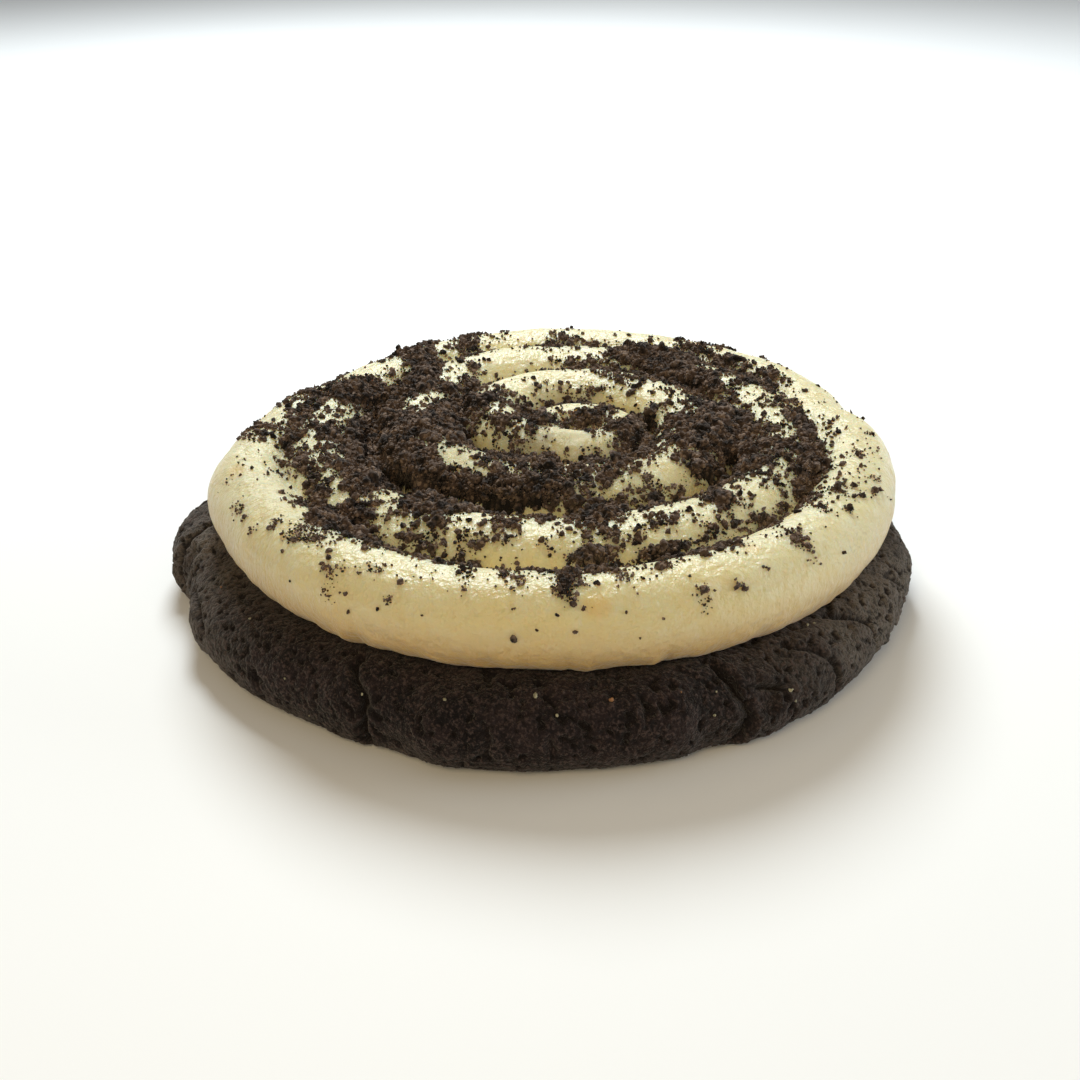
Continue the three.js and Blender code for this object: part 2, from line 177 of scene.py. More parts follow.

# The cream's underside meets the cookie's flat top, and painted shade makes the cream darker and warmer for
# a way up from it
CREAM_FOOT_Z = 10.85 * MM
FOOT_SHADE_REACH = 10 * MM

# Dents and little lips along the cream's lower edge: direction, reach in degrees, mm
FOOT_LIPS = (
    (236.7, 0.9, 0.45), (239.4, 0.6, -0.35), (242.3, 1.2, 0.3), (262.0, 1.0, 0.2), (271.2, 0.7, -0.3),
    (274.0, 0.7, 0.2), (283.5, 0.7, 0.3), (285.6, 0.7, -0.3), (226.0, 2.0, 0.2), (205.0, 2.0, 0.3),
)

# Flecks of butter: direction, section angle, reach in mm
BUTTER_FLECKS = (
    (195.7, 74.3, 1.5), (15.9, 115.7, 1.7), (303, 88, 1.2), (318, 120, 1.3), (275.5, 48, 2.0),
)

# The bed of crumbs: half the width of the square that it is built in, how far it may reach
# past the outer crest, how thin it may be, and how deep its underside lies in the cream
BED_REACH, PAST_CREST = 47 * MM, 3 * MM
BED_THINNEST, BED_UNDERSIDE = 0.16 * MM, 0.55 * MM

# The drifts and bare places were measured in a plan view of the photo, whose lines of
# sight are followed down to one level
SEEN_FROM = (0.0, -183.4 * MM, 102.35 * MM)
SEEN_LEVEL = 20 * MM
CRUMB_STAND = 0.4 * MM

# Drifts of crumbs in that plan, in mm from the cream's centre: x, y, reach along and
# across, turn in degrees, and how thick they lie
DRIFTS = (
    (-31.4, 21, 3.6, 2.6, 125, 0.9), (-30, 27.5, 3.4, 1.6, 20, 0.85), (-22.8, 37.5, 5.5, 2.3, 108, 1),
    (-20.5, 41.5, 4, 1.4, 108, 0.85), (-14.2, 45, 5.5, 2.2, 82, 1.1), (-13.6, 32, 2.6, 1.2, 95, 0.5),
    (-22, 29, 4.5, 2.2, 90, 0.8), (-29.5, 20.5, 5.5, 3.4, 160, 0.8), (-38.4, 17, 4, 2.1, 97, 1.05),
    (-38, 11.5, 2.4, 2.2, 0, 0.75), (-39.6, 2, 5, 1.6, 98, 0.95), (-44.5, 5.5, 1.7, 1.3, 90, 0.75),
    (-33.8, 4, 6, 1, 92, 0.45), (-27, 8, 6, 4.4, 90, 0.9), (-20.5, 2.5, 6, 5, 100, 1),
    (-30, -8.5, 4.5, 1.5, 110, 0.55), (-25, -5, 6, 4.2, 110, 1.05), (-17, 14, 6, 3, 60, 0.8),
    (-13.5, 5, 7, 1.8, 110, 0.9), (-11, 11, 3.5, 1.4, 90, 0.65), (-16.6, 23.8, 3.6, 2.4, 25, 1),
    (-10.4, 18, 2.8, 1.7, 70, 0.75), (-8, 10, 2.2, 1.5, 0, 0.7), (-19.5, -10.5, 6, 3, 145, 1),
    (-12, -14.8, 6, 2.4, 155, 1.05), (-5, -15.3, 5.2, 2.6, 5, 1.1), (-17.5, -19.6, 4, 1.2, 160, 0.75),
    (-7, -9, 5, 2.8, 160, 0.75), (-2, -7, 6, 2, 175, 0.45), (8, -8, 3, 2.2, 20, 0.4),
    (5, -12.5, 3, 4.5, 0, 0.4), (8, -17, 4, 1.4, 10, 0.6), (10.3, 3, 1.7, 4.5, 0, 0.7),
    (4.4, 12.3, 5, 2, 172, 1.1), (-4, 3.6, 3.6, 2.3, 90, 1.1), (1, 8.3, 4, 1.3, 0, 0.8),
    (12.5, 7, 2.4, 2.2, 0, 0.55), (16.4, 0.4, 4.4, 1.8, 40, 0.75), (20.4, -9.5, 1.3, 5, 8, 0.55),
    (6, 22.4, 1.8, 2.4, 0, 0.7), (-2.3, 25.4, 1.3, 3, 0, 0.7), (2.4, 34.3, 4, 2.1, 172, 1.05),
    (11.2, 26.8, 4, 1.5, 108, 0.85), (1.6, 45, 1.9, 2.6, 0, 0.95), (7, 43.6, 1.5, 2, 0, 0.8),
    (-3, 41, 2, 2, 0, 0.65), (-34.8, -9.6, 7.5, 1.15, 107, 0.9),
    (-28.4, -23.4, 5.2, 1.8, 140, 1.1), (-26.5, -20.5, 3, 1.6, 125, 0.85), (-25, -17.4, 2.4, 1.2, 100, 0.6),
    (-23.5, -30, 2.2, 0.9, 145, 0.5), (15.5, 39, 4.4, 3, 150, 0.85), (18.5, 33, 7.5, 4.2, 140, 1.05),
    (24.5, 23.5, 7, 3, 130, 1), (31.4, 27.4, 4, 1.3, 118, 0.75), (35.6, 28.4, 2.4, 1.5, 120, 0.9),
    (34.8, 19, 5, 0.8, 100, 0.75), (26.4, 38, 4, 1.8, 125, 0.85), (26.5, 9, 7, 4.6, 115, 0.95),
    (22.5, 4, 5, 3.2, 100, 0.9), (25.5, -4.6, 3.6, 3, 60, 0.9), (36.8, 10, 4.4, 1, 90, 0.7),
    (31, 34, 4, 1.1, 130, 0.55), (37.2, 2.6, 5, 1.3, 92, 0.9), (35.4, -9, 5.6, 1.5, 66, 1.05),
    (33, 0, 4, 2.2, 90, 0.65), (23.4, -16.7, 2.4, 1.6, 35, 0.8), (36.4, -16.4, 1.3, 1, 0, 0.7),
    (40.6, -16, 0.9, 0.9, 0, 0.7), (8, -20.4, 3.8, 1.5, 15, 0.65), (-7.5, -22.6, 2.2, 1.2, 160, 0.45),
    (-16, -22.6, 3.4, 1.1, 170, 0.65), (-15.6, -28.4, 1, 4.4, 0, 0.45), (-8, -28.5, 1.4, 2.4, 90, 0.3),
    (6.8, -25, 1.7, 2.8, 0, 0.75), (6, -30.4, 1.4, 4, 0, 0.5), (13, -23.5, 2.6, 2.2, 20, 0.35),
    (18, -29, 4.4, 0.9, 25, 0.6), (-15, -33.8, 2.4, 0.7, 150, 0.5), (-4.5, -36, 2.6, 0.7, 170, 0.5),
    (4.3, -34.4, 1.4, 1.8, 0, 1), (13, -33.6, 3.4, 0.8, 25, 0.85), (20.5, -31, 2.2, 0.9, 35, 0.6),
    (27.6, -23.2, 4.2, 1, 48, 0.7),
)

# Places that the crumbs leave bare, given in the same way
BARE_PLACES = (
    (-5, 34, 4.6, 5, 0, 0.75), (1, 28.5, 4.6, 2.2, 0, 0.85), (4.5, 40, 3.6, 1.8, 0, 0.8),
    (14, 23, 2.4, 2.6, 120, 0.5), (14.6, 15, 5, 3, 15, 1), (-17.4, 0.2, 4.2, 1.5, 130, 1.1),
    (-9.6, 3, 3, 5.6, 0, 1.2), (2.4, 3.6, 2.2, 1.5, 20, 0.8), (-3, 18, 4.6, 2.6, 0, 0.7),
    (-22, 17, 2.4, 1.8, 30, 0.7), (-27.5, 32, 4.5, 1.5, 112, 0.85), (-34.2, 14.1, 2.7, 2.4, 110, 1),
    (-17.8, 33.5, 3, 1, 90, 0.5), (28.5, -15, 4.2, 1.8, 60, 0.8), (31.6, 15.4, 5.5, 2.2, 100, 1.1),
    (-11, -26, 3, 1.4, 160, 0.3), (13, -11, 2.2, 4, 20, 0.25), (3, -16, 3, 2, 0, 0.6),
    (-22.6, -17.4, 2.2, 1.4, 120, 0.5), (-8.6, 23.6, 2.4, 2.8, 0, 0.8),
)

# Crumbs sprinkled evenly between two turns of the rope: direction range in degrees,
# range of distance from the cream's centre in mm, and how thick they lie
SPRINKLED = (
    (200, 345, 21, 37, 0.43), (345, 400, 21, 46, 0.13), (40, 80, 12, 45, 0.07), (80, 120, 20, 46, 0.1),
    (120, 185, 20, 46, 0.26), (185, 232, 33, 42, 0.05), (190, 232, 38.5, 46, 0.06),
    (226, 320, 36.5, 41.8, 0.16), (320, 350, 36, 45, 0.08), (0, 360, 0, 21, 0.4), (0, 70, 20, 42, 0.1),
)

# Small clusters on the outermost turn: direction, angle over the rope's section where
# 90 is the crest and 0 the outermost side, reach in mm, and how thick they lie
CLUSTERS = (
    (235, 50, 0.85, 0.9), (235.8, 26, 0.8, 0.8), (239, 58, 0.5, 0.5), (241.2, 73, 0.7, 0.7),
    (245.4, 41, 0.45, 0.6), (252.8, 66, 0.3, 0.5), (256.4, 69, 0.3, 0.5), (261.5, 95, 0.6, 0.6),
    (264.2, 44, 0.45, 0.45), (261.1, 68.6, 0.35, 0.5), (263.5, 68.4, 0.3, 0.45), (270.8, 64, 0.9, 1.1),
    (271.5, 84, 1.1, 1.05), (272.1, 100, 1.3, 1), (274, 47.6, 0.35, 0.4), (323.1, 90, 0.9, 0.7),
    (326.9, 65.5, 0.55, 0.65), (317.6, 62.4, 0.6, 0.5), (312.3, 37.8, 0.45, 0.6),
    (302.7, 54.5, 0.4, 0.7), (297.6, 42.4, 0.55, 0.9), (291.5, 50.9, 0.75, 0.95),
    (291.2, 34, 0.55, 0.9), (311.6, 67, 1.3, 0.75), (339.4, 35, 0.6, 0.35), (312.2, 80.6, 0.9, 0.6),
    (341.1, 67.2, 1, 0.35), (332.8, 97, 1, 0.75), (348, 85, 1, 0.35), (197.8, 59, 0.9, 0.35),
    (210.8, 50, 0.7, 0.35), (206.7, 50, 0.9, 0.4), (215, 47, 0.5, 0.45), (218.2, 69, 0.6, 0.45),
    (223.6, 80, 1.2, 0.7), (227.1, 82, 1, 0.6), (222.6, 96, 1.4, 0.4), (220.9, 118, 1.3, 0.5),
    (247, 80, 1.1, 0.3), (255, 84, 1.4, 0.3), (263, 93, 1.5, 0.5), (281, 93, 1.5, 0.55),
    (288, 96, 1.2, 0.5), (302, 96, 1, 0.4), (191, 96, 0.8, 0.3), (204, 50, 0.6, 0.35),
    (337, 78, 0.8, 0.3), (352, 70, 1.2, 0.25),
)

# Single larger crumbs on the outermost turn: direction, section angle, size in mm
SINGLE_CRUMBS = (
    (238.6, 30, 0.42), (224.3, 46.2, 0.34), (228.1, 19.5, 0.18), (239.5, 10.6, 0.26), (244.2, 23, 0.24),
    (232.2, 70.3, 0.42), (210.8, 49.3, 0.5), (264, 9.8, 0.4), (272.4, 19.3, 0.36), (281.2, 7.9, 0.22),
    (270, 37.6, 0.3), (272.3, 50.3, 0.46), (284.6, 26.5, 0.22), (279.6, 38, 0.22), (267.2, 21, 0.24),
    (318.3, 30.3, 0.34), (336.6, 55, 0.56), (332.8, 97.6, 0.78), (297.6, 43, 0.4), (312, 60, 0.5),
    (286.5, 92, 0.72), (276, 76, 0.4), (251, 26, 0.16), (218.6, 64, 0.34), (326.9, 67, 0.42),
)
# How large a single crumb's lump is for each mm of its size, and the first one's seed
SINGLE_SCALE, SINGLE_SEED = 1.8 * MM, 500

# The kinds of loose crumbs: smallest and largest in mm, how far small ones prevail, how
# far they are lifted in sizes, and their shape. A shard has a number of corners; a lump
# has rounds of subdivision and a jaggedness
CRUMB_KINDS = (
    ("dust", 0.18, 0.38, 1.2, 0.15, "shard", (5,)),
    ("fine", 0.34, 0.6, 1.2, 0.2, "shard", (6,)),
    ("small", 0.5, 0.8, 1.3, 0.2, "lump", (1, 0.9)),
    ("medium", 0.7, 1.08, 1.5, 0.2, "lump", (2, 0.85)),
    ("coarse", 1.05, 1.75, 1.8, 0.16, "lump", (3, 0.85)),
)
CRUMB_SHAPES = 7

# The floor's width in metres, and its level just under the cookie
FLOOR_WIDTH, FLOOR_Z = 6.0, -0.02 * MM
# The lights all shine on this place, and the side light has a share of the window's power
LIT_PLACE = (0, 0, 0.015)
SIDE_LIGHT_SHARE = 0.275

# Turns the lattice of the noise, so that its grain lies along none of the axes
GRAIN_TURN = np.array(Matrix.Rotation(0.61, 3, "X") @ Matrix.Rotation(0.93, 3, "Y"))


def smooth_step(value, low, high):
    share = np.clip((value - low) / (high - low), 0.0, 1.0)
    return share * share * (3 - 2 * share)


def off_by(degrees, to):
    """How far directions in degrees lie from another one, from -180 to 180."""
    return (degrees - to + 180) % 360 - 180


def hump(away, reach, power=2):
    """1 where away is 0, fading out around reach."""
    return np.exp(-((away / reach) ** power))


def corner_draws(corner, seed):
    """A repeatable number from 0 to 1 for every corner of a lattice."""
    parts = [corner[:, axis].astype(np.int64).astype(np.uint32) for axis in range(3)]
    mixed = parts[0] * np.uint32(73856093) ^ parts[1] * np.uint32(19349663)
    mixed ^= parts[2] * np.uint32(83492791) ^ np.uint32((seed * 2654435761) % 2**32)
    for shift, factor in ((15, 2246822519), (13, 3266489917)):
        mixed ^= mixed >> np.uint32(shift)
        mixed *= np.uint32(factor)
    mixed ^= mixed >> np.uint32(16)
    return mixed / 2.0**32


def smooth_noise(points, scale, seed):
    """Soft lumps from -1 to 1, about as large as scale, at every point."""
    lattice = points @ GRAIN_TURN.T / scale
    cell = np.floor(lattice)
    fade = lattice - cell
    fade = fade**3 * (fade * (fade * 6 - 15) + 10)
    total = np.zeros(len(points))
    for corner in itertools.product((0, 1), repeat=3):
        weight = np.prod(np.where(corner, fade, 1 - fade), axis=1)
        total += weight * corner_draws(cell + corner, seed)
    return 2 * total - 1


def layered_noise(points, scale, layers, seed):
    """Lumps on lumps: each layer has half the size and half the height."""
    return sum(smooth_noise(points, scale / 2**k, seed + k) / 2**k for k in range(layers))


def lumps(points, *layers):
    """Soft relief in metres; each layer is a height and a width in mm, and a seed."""
    return sum(high * MM * smooth_noise(points, wide * MM, seed) for high, wide, seed in layers)


def nearest_grains(points, scale, seed):
    """For grains packed about scale apart: how far each point is from its nearest and
    its second nearest grain, in grain sizes, and a number from 0 to 1 for the nearest."""
    lattice = points / scale
    cell = np.floor(lattice)
    first = np.full(len(points), 9.0)
    second = first.copy()
    mark = np.zeros(len(points))
    for step in itertools.product((-1, 0, 1), repeat=3):
        corner = cell + step
        middle = corner + np.stack([corner_draws(corner, seed + k) for k in range(3)], axis=1)
        away = np.linalg.norm(lattice - middle, axis=1)
        closer = away < first
        second = np.where(closer, first, np.minimum(second, away))
        first = np.where(closer, away, first)
        mark = np.where(closer, corner_draws(corner, seed + 3), mark)
    return first, second, mark


def grit(points, high, wide, level, least, spread, seed):
    """Relief in metres of packed grains: their height and width in mm, how much of each
    stands up, and how much their heights differ."""
    first, _, mark = nearest_grains(points, wide * MM, seed)
    return high * MM * (level - first) * (least + spread * mark)


def new_object(name, data):
    piece = bpy.data.objects.new(name, data)
    bpy.context.scene.collection.objects.link(piece)
    return piece


def mesh_object(name, points, faces):
    """A closed, smooth mesh with its faces pointing outwards."""
    mesh = bpy.data.meshes.new(name)
    mesh.from_pydata(np.asarray(points).tolist(), [], faces)
    mesh.update()
    if signed_volume(mesh) < 0:
        mesh.flip_normals()
    mesh.polygons.foreach_set("use_smooth", [True] * len(mesh.polygons))
    return new_object(name, mesh)


def signed_volume(mesh):
    mesh.calc_loop_triangles()
    points = vertex_points(mesh)
    corners = np.zeros(len(mesh.loop_triangles) * 3, np.int32)
    mesh.loop_triangles.foreach_get("vertices", corners)
    a, b, c = points[corners.reshape(-1, 3)].transpose(1, 0, 2)
    return np.einsum("ij,ij->i", a, np.cross(b, c)).sum() / 6


def read_vectors(values, name):
    flat = np.zeros(len(values) * 3, np.float32)
    values.foreach_get(name, flat)
    return flat.reshape(-1, 3).astype(float)


def vertex_points(mesh):
    return read_vectors(mesh.vertices, "co")


def vertex_normals(mesh):
    return read_vectors(mesh.vertex_normals, "vector")


def move_points(mesh, points):
    mesh.vertices.foreach_set("co", np.asarray(points, np.float32).ravel())
    mesh.update()


def store_values(mesh, name, values):
    mesh.attributes.new(name, "FLOAT", "POINT").data.foreach_set("value", np.asarray(values, np.float32))


def skin_rings(rings, first_pole, last_pole):
    """Points and faces of a closed skin over rings of points, which may halve or double
    their number of points from one ring to the next, with a fan at both poles."""
    points = np.vstack([*rings, first_pole, last_pole])
    starts = np.cumsum([0] + [len(ring) for ring in rings])
    faces = []
    for index in range(len(rings) - 1):
        a, b = len(rings[index]), len(rings[index + 1])
        here, there = starts[index], starts[index + 1]
        now = np.arange(min(a, b))
        after = (now + 1) % len(now)
        if a == b:
            faces += np.stack([here + now, here + after, there + after, there + now], axis=1).tolist()
            continue
        many, few = (here, there) if a > b else (there, here)
        left, middle, right = many + 2 * now, many + 2 * now + 1, many + (2 * now + 2) % (2 * len(now))
        triangles = np.vstack([
            np.stack([left, middle, few + now], axis=1),
            np.stack([middle, few + after, few + now], axis=1),
            np.stack([middle, right, few + after], axis=1),
        ])
        faces += (triangles if a > b else triangles[:, ::-1]).tolist()
    for pole, ring, start, flip in ((0, rings[0], 0, False), (1, rings[-1], starts[-2], True)):
        now = np.arange(len(ring))
        after = (now + 1) % len(ring)
        tip = np.full(len(ring), starts[-1] + pole)
        fan = np.stack([tip, start + after, start + now], axis=1)
        faces += (fan[:, ::-1] if flip else fan).tolist()
    return points, faces


class NodeSheet:
    """Adds nodes to a node tree, with their inputs given by name or by number."""

    def __init__(self, tree):
        self.tree = tree

    def add(self, kind, settings=None, **inputs):
        node = self.tree.nodes.new(kind)
        for name, value in (settings or {}).items():
            setattr(node, name, value)
        for name, value in inputs.items():
            self.feed(node, name.replace("_", " "), value)
        return node

    def feed(self, node, name, value):
        socket = node.inputs[int(name)] if name.isdigit() else node.inputs[name]
        if isinstance(value, bpy.types.NodeSocket):
            self.tree.links.new(value, socket)
        else:
            socket.default_value = value

    def math(self, operation, a, b):
        node = self.add("ShaderNodeMath", {"operation": operation}, **{"0": a, "1": b})
        return node.outputs["Value"]

    def vector(self, operation, a, b=(0, 0, 0)):
        node = self.add("ShaderNodeVectorMath", {"operation": operation}, **{"0": a, "1": b})
        return node.outputs["Vector"]


class MaterialSheet(NodeSheet):
    """A new material, whose textures all lie in the object's own coordinates."""

    def __init__(self, name):
        self.material = bpy.data.materials.new(name)
        self.material.use_nodes = True
        super().__init__(self.material.node_tree)
        self.tree.nodes.clear()
        self.place = self.add("ShaderNodeTexCoord").outputs["Object"]

    def stored(self, name):
        return self.add("ShaderNodeAttribute", {"attribute_name": name}).outputs["Fac"]

    def noise(self, scale, detail=3.0, roughness=0.55, place=None):
        place = place or self.place
        texture = self.add(
            "ShaderNodeTexNoise", None, Vector=place, Scale=scale, Detail=detail, Roughness=roughness
        )
        return texture.outputs["Fac"]

    def grains(self, scale):
        return self.add("ShaderNodeTexVoronoi", None, Vector=self.place, Scale=scale).outputs

    def spread(self, value, low, high, to_low=0.0, to_high=1.0):
        node = self.add(
            "ShaderNodeMapRange", {"interpolation_type": "SMOOTHSTEP"},
            Value=value, From_Min=low, From_Max=high, To_Min=to_low, To_Max=to_high,
        )
        return node.outputs["Result"]

    def blend(self, share, first, second):
        """Mixes two colours, which are sockets or three numbers."""
        tints = [
            tint if isinstance(tint, bpy.types.NodeSocket) else (*tint, 1.0) for tint in (first, second)
        ]
        node = self.add("ShaderNodeMix", {"data_type": "RGBA"}, **{"0": share, "6": tints[0], "7": tints[1]})
        return node.outputs[2]

    def bumps(self, *layers):
        """Bump nodes in a chain; each layer is a height, a distance in mm and a strength."""
        chain = {}
        for height, distance, strength in layers:
            node = self.add(
                "ShaderNodeBump", None, Height=height, Distance=distance * MM, Strength=strength, **chain
            )
            chain = {"Normal": node.outputs["Normal"]}
        return node.outputs["Normal"]

    def finish(self, tone, roughness, **inputs):
        shader = self.add("ShaderNodeBsdfPrincipled", None, Base_Color=tone, Roughness=roughness, **inputs)
        self.add("ShaderNodeOutputMaterial", None, Surface=shader.outputs["BSDF"])
        return self.material


def cookie_material(look):
    """Baked chocolate dough: nearly black, matt, porous, a little paler on its high crumbs, with painted
    shade in its pores and cracks and partly painted sheen on its pale dry sides.
    """
    sheet = MaterialSheet("cookie_dough")
    broad = sheet.noise(190, 4, 0.65)
    fine = sheet.noise(1700, 3, 0.65)
    grain = sheet.noise(2700, 2, 0.6)
    pores = sheet.grains(620)["Distance"]
    tone = sheet.blend(sheet.spread(broad, 0.35, 0.68), look.deep_colour, look.crust_colour)
    fine_tops = sheet.spread(fine, 0.38, 0.62, 0.3, 1.0)
    grain_tops = sheet.spread(grain, 0.36, 0.62, 0.35, 1.0)
    # Pale dry crust on the tops of the bumps: partly the crust's own colour, partly painted sheen
    high = sheet.math("MULTIPLY", fine_tops, grain_tops)
    dry = sheet.math("MULTIPLY", sheet.stored("dry_crust_and_sheen"), high)
    tone = sheet.blend(dry, tone, look.pale_dry_and_sheen_colour)
    dusty = sheet.math("MULTIPLY", sheet.spread(fine, 0.42, 0.6), sheet.spread(grain, 0.4, 0.6))
    tone = sheet.blend(dusty, tone, look.dust_colour)
    # Painted shade: the pores, the cracks and the low grit are darkened to the pore colour
    pore_shade = sheet.spread(pores, 0.05, 0.32, 0.8, 0.0)
    crack_shade = sheet.spread(sheet.stored("standing"), 0.0, 0.8, 0.85, 0.0)
    tone = sheet.blend(sheet.math("MAXIMUM", pore_shade, crack_shade), tone, look.deep_colour)
    normal = sheet.bumps((fine, 0.42, 0.9), (grain, 0.28, 0.9), (sheet.spread(pores, 0.05, 0.26), 0.3, 0.8))
    return sheet.finish(
        tone, 0.85, Normal=normal, Specular_IOR_Level=0.16, Sheen_Weight=look.sheen,
        Sheen_Roughness=0.45, Sheen_Tint=(0.86, 0.8, 0.72, 1.0),
    )


def cream_material(look):
    """Whipped cream frosting: soft ivory satin with faint blotches, streaks and pinholes."""
    sheet = MaterialSheet("piped_cream")
    mottle = sheet.noise(420, 3)
    tone = sheet.blend(sheet.spread(sheet.noise(110, 3), 0.3, 0.7), look.deep_colour, look.ivory_colour)
    tone = sheet.blend(sheet.math("MULTIPLY", sheet.spread(mottle, 0.45, 0.75), 0.4), tone, look.pale_colour)
    tone = sheet.blend(sheet.stored("butter"), tone, look.butter_colour)
    level = sheet.add("ShaderNodeSeparateXYZ", None, Vector=sheet.place).outputs["Z"]
    # Painted shade: the cream turns darker and warmer towards its foot
    painted_foot_shade = sheet.spread(level, CREAM_FOOT_Z, CREAM_FOOT_Z + FOOT_SHADE_REACH, 0.95, 0.0)
    tone = sheet.blend(painted_foot_shade, tone, look.foot_shade_colour)
    from_centre = sheet.vector("SUBTRACT", sheet.place, (CREAM_CENTRE[0] * MM, 0.0, 0.0))
    outward = sheet.vector("NORMALIZE", sheet.vector("MULTIPLY", from_centre, (1.0, 1.0, 0.0)))
    round_rope = sheet.vector("MULTIPLY", outward, (OUTER_RADIUS * MM, OUTER_RADIUS * MM, 0.0))
    over_rope = sheet.vector("MULTIPLY", from_centre, (0.5, 0.5, 0.6))
    ripples = sheet.noise(1500, 3, 0.55, sheet.vector("ADD", round_rope, over_rope))
    slow_round = sheet.vector("MULTIPLY", outward, (7 * MM, 7 * MM, 0.0))
    draw_lines = sheet.noise(800, 3, 0.5, sheet.vector("ADD", slow_round, from_centre))
    normal = sheet.bumps(
        (sheet.math("MULTIPLY", ripples, sheet.stored("streaked")), 0.62, 1.0),
        (draw_lines, 0.12, 0.5),
        (mottle, 0.5, 0.9),
        (sheet.noise(950, 3, 0.55), 0.52, 0.9),
        (sheet.spread(sheet.grains(560)["Distance"], 0.03, 0.16), 0.07, 0.5),
    )
    return sheet.finish(
        tone, 0.39, Normal=normal, Specular_IOR_Level=0.6, Sheen_Weight=look.bloom,
        Sheen_Roughness=0.4, Subsurface_Weight=look.softness, Subsurface_Radius=(1.0, 0.7, 0.42),
        Subsurface_Scale=look.light_depth,
    )


def crumb_material(name, look, shade, packed=False):
    """Crushed chocolate cookie: dark, dry and matt, each grain a little paler or darker. On a packed bed the
    low places hold painted shade and the high grains painted light; shade makes a darker copy.
    """
    sheet = MaterialSheet(name)
    deep, crumb, pale = (
        [shade * c for c in tint] for tint in (look.deep_colour, look.crumb_colour, look.pale_colour)
    )
    cells = sheet.grains(2300)
    # On the packed bed the standing value paints shade into the low places and light onto the high grains;
    # loose crumbs vary at random
    high = sheet.stored("standing") if packed else sheet.spread(sheet.noise(560, 2), 0.35, 0.6)
    tone = sheet.blend(high, deep, crumb)
    broken = sheet.spread(cells["Color"], 0.5, 0.85)
    paler = sheet.math("MULTIPLY", broken, sheet.math("MULTIPLY", high, 0.8))
    tone = sheet.blend(paler, tone, pale)
    grain = sheet.spread(cells["Distance"], 0.0, 0.75, 1.0, 0.0)
    normal = sheet.bumps((grain, 0.17, 0.9), (sheet.noise(2600, 3, 0.6), 0.12, 0.8))
    return sheet.finish(
        tone, 0.85, Normal=normal, Specular_IOR_Level=0.15, Sheen_Weight=look.sheen,
        Sheen_Roughness=0.5, Sheen_Tint=(0.85, 0.7, 0.6, 1.0),
    )


def speck_material(name, tint):
    sheet = MaterialSheet(name)
    tone = sheet.blend(sheet.spread(sheet.noise(1600, 2), 0.35, 0.65), [0.6 * c for c in tint], tint)
    return sheet.finish(tone, 0.6, Normal=sheet.bumps((sheet.noise(3000, 2), 0.1, 0.6)))


def floor_material(look):
    sheet = MaterialSheet("pale_table")
    tone = sheet.blend(sheet.noise(14, 2), look.floor_colour, [0.985 * c for c in look.floor_colour])
    return sheet.finish(tone, 0.7, Specular_IOR_Level=0.2)


def outline_swell(direction):
    """How far the cookie's outline stands out, in metres, at a direction in radians."""
    swell = sum(high * np.sin(count * direction + turn) for count, high, turn in OUTLINE_SWELLS)
    for to, reach, out in OUTLINE_FLATS:
        swell = swell + out * MM * hump(off_by(np.degrees(direction), to), reach, 4)
    return swell


def rim_profile(look, step):
    """The rim from its upper edge down to the floor: radius, height and length so far."""
    upper = np.linspace(math.pi / 2, 0, 400)
    lower = np.linspace(0, math.pi / 2, 300)[1:]
    upper_height = look.thickness - look.widest_height
    radius = np.concatenate([
        look.radius - look.upper_round * (1 - np.cos(upper)),
        look.radius - RIM_LOWER_ROUND * (1 - np.cos(lower)),
    ])
    height = np.concatenate([
        look.widest_height + upper_height * np.sin(upper),
        look.widest_height * (1 - np.sin(lower)),
    ])
    length = np.concatenate([[0], np.cumsum(np.hypot(np.diff(radius), np.diff(height)))])
    even = np.linspace(0, length[-1], round(length[-1] / step) + 1)
    return np.interp(even, length, radius), np.interp(even, length, height), even


def crack_relief(direction, down, places, look):
    """How far the cracks cut in, and how far their edges stand up, all in metres."""
    wobble = lumps(places, (0.5, 1.6, 71), (0.2, 0.7, 72))
    cut = np.zeros(len(places))
    for path, depth, half_width in CRACKS:
        along = off_by(np.degrees(direction), path[0][0]) * DEGREE * look.radius + wobble
        line = np.array([((to - path[0][0]) * DEGREE * look.radius, low * MM) for to, low in path])
        lengths = np.concatenate([[0], np.cumsum(np.linalg.norm(np.diff(line, axis=0), axis=1))])
        near = np.abs(along - line[:, 0].mean()) < np.ptp(line[:, 0]) / 2 + 4 * MM
        spots = np.stack([along[near], down[near] + wobble[near] * 0.6], axis=1)
        closest = np.full(len(spots), 1.0)
        share = np.zeros(len(spots))
        for index, (a, b) in enumerate(zip(line[:-1], line[1:])):
            part = np.clip((spots - a) @ (b - a) / ((b - a) @ (b - a)), 0, 1)
            away = np.linalg.norm(spots - a - part[:, None] * (b - a), axis=1)
            nearer = away < closest
            closest = np.where(nearer, away, closest)
            run = lengths[index] + part * (lengths[index + 1] - lengths[index])
            share = np.where(nearer, run / lengths[-1], share)
        strength = np.sqrt(np.clip(4 * (share + 0.06) * (1.06 - share), 0, 1))
        width = half_width * MM * (0.6 + 0.6 * strength)
        groove = depth * MM * strength * hump(closest, width)
        lip = 0.05 * MM * strength * hump(closest - 2.6 * width, 1.6 * width)
        cut[near] = np.where(groove > lip, np.maximum(cut[near], groove - lip), cut[near] - lip)
    return -cut


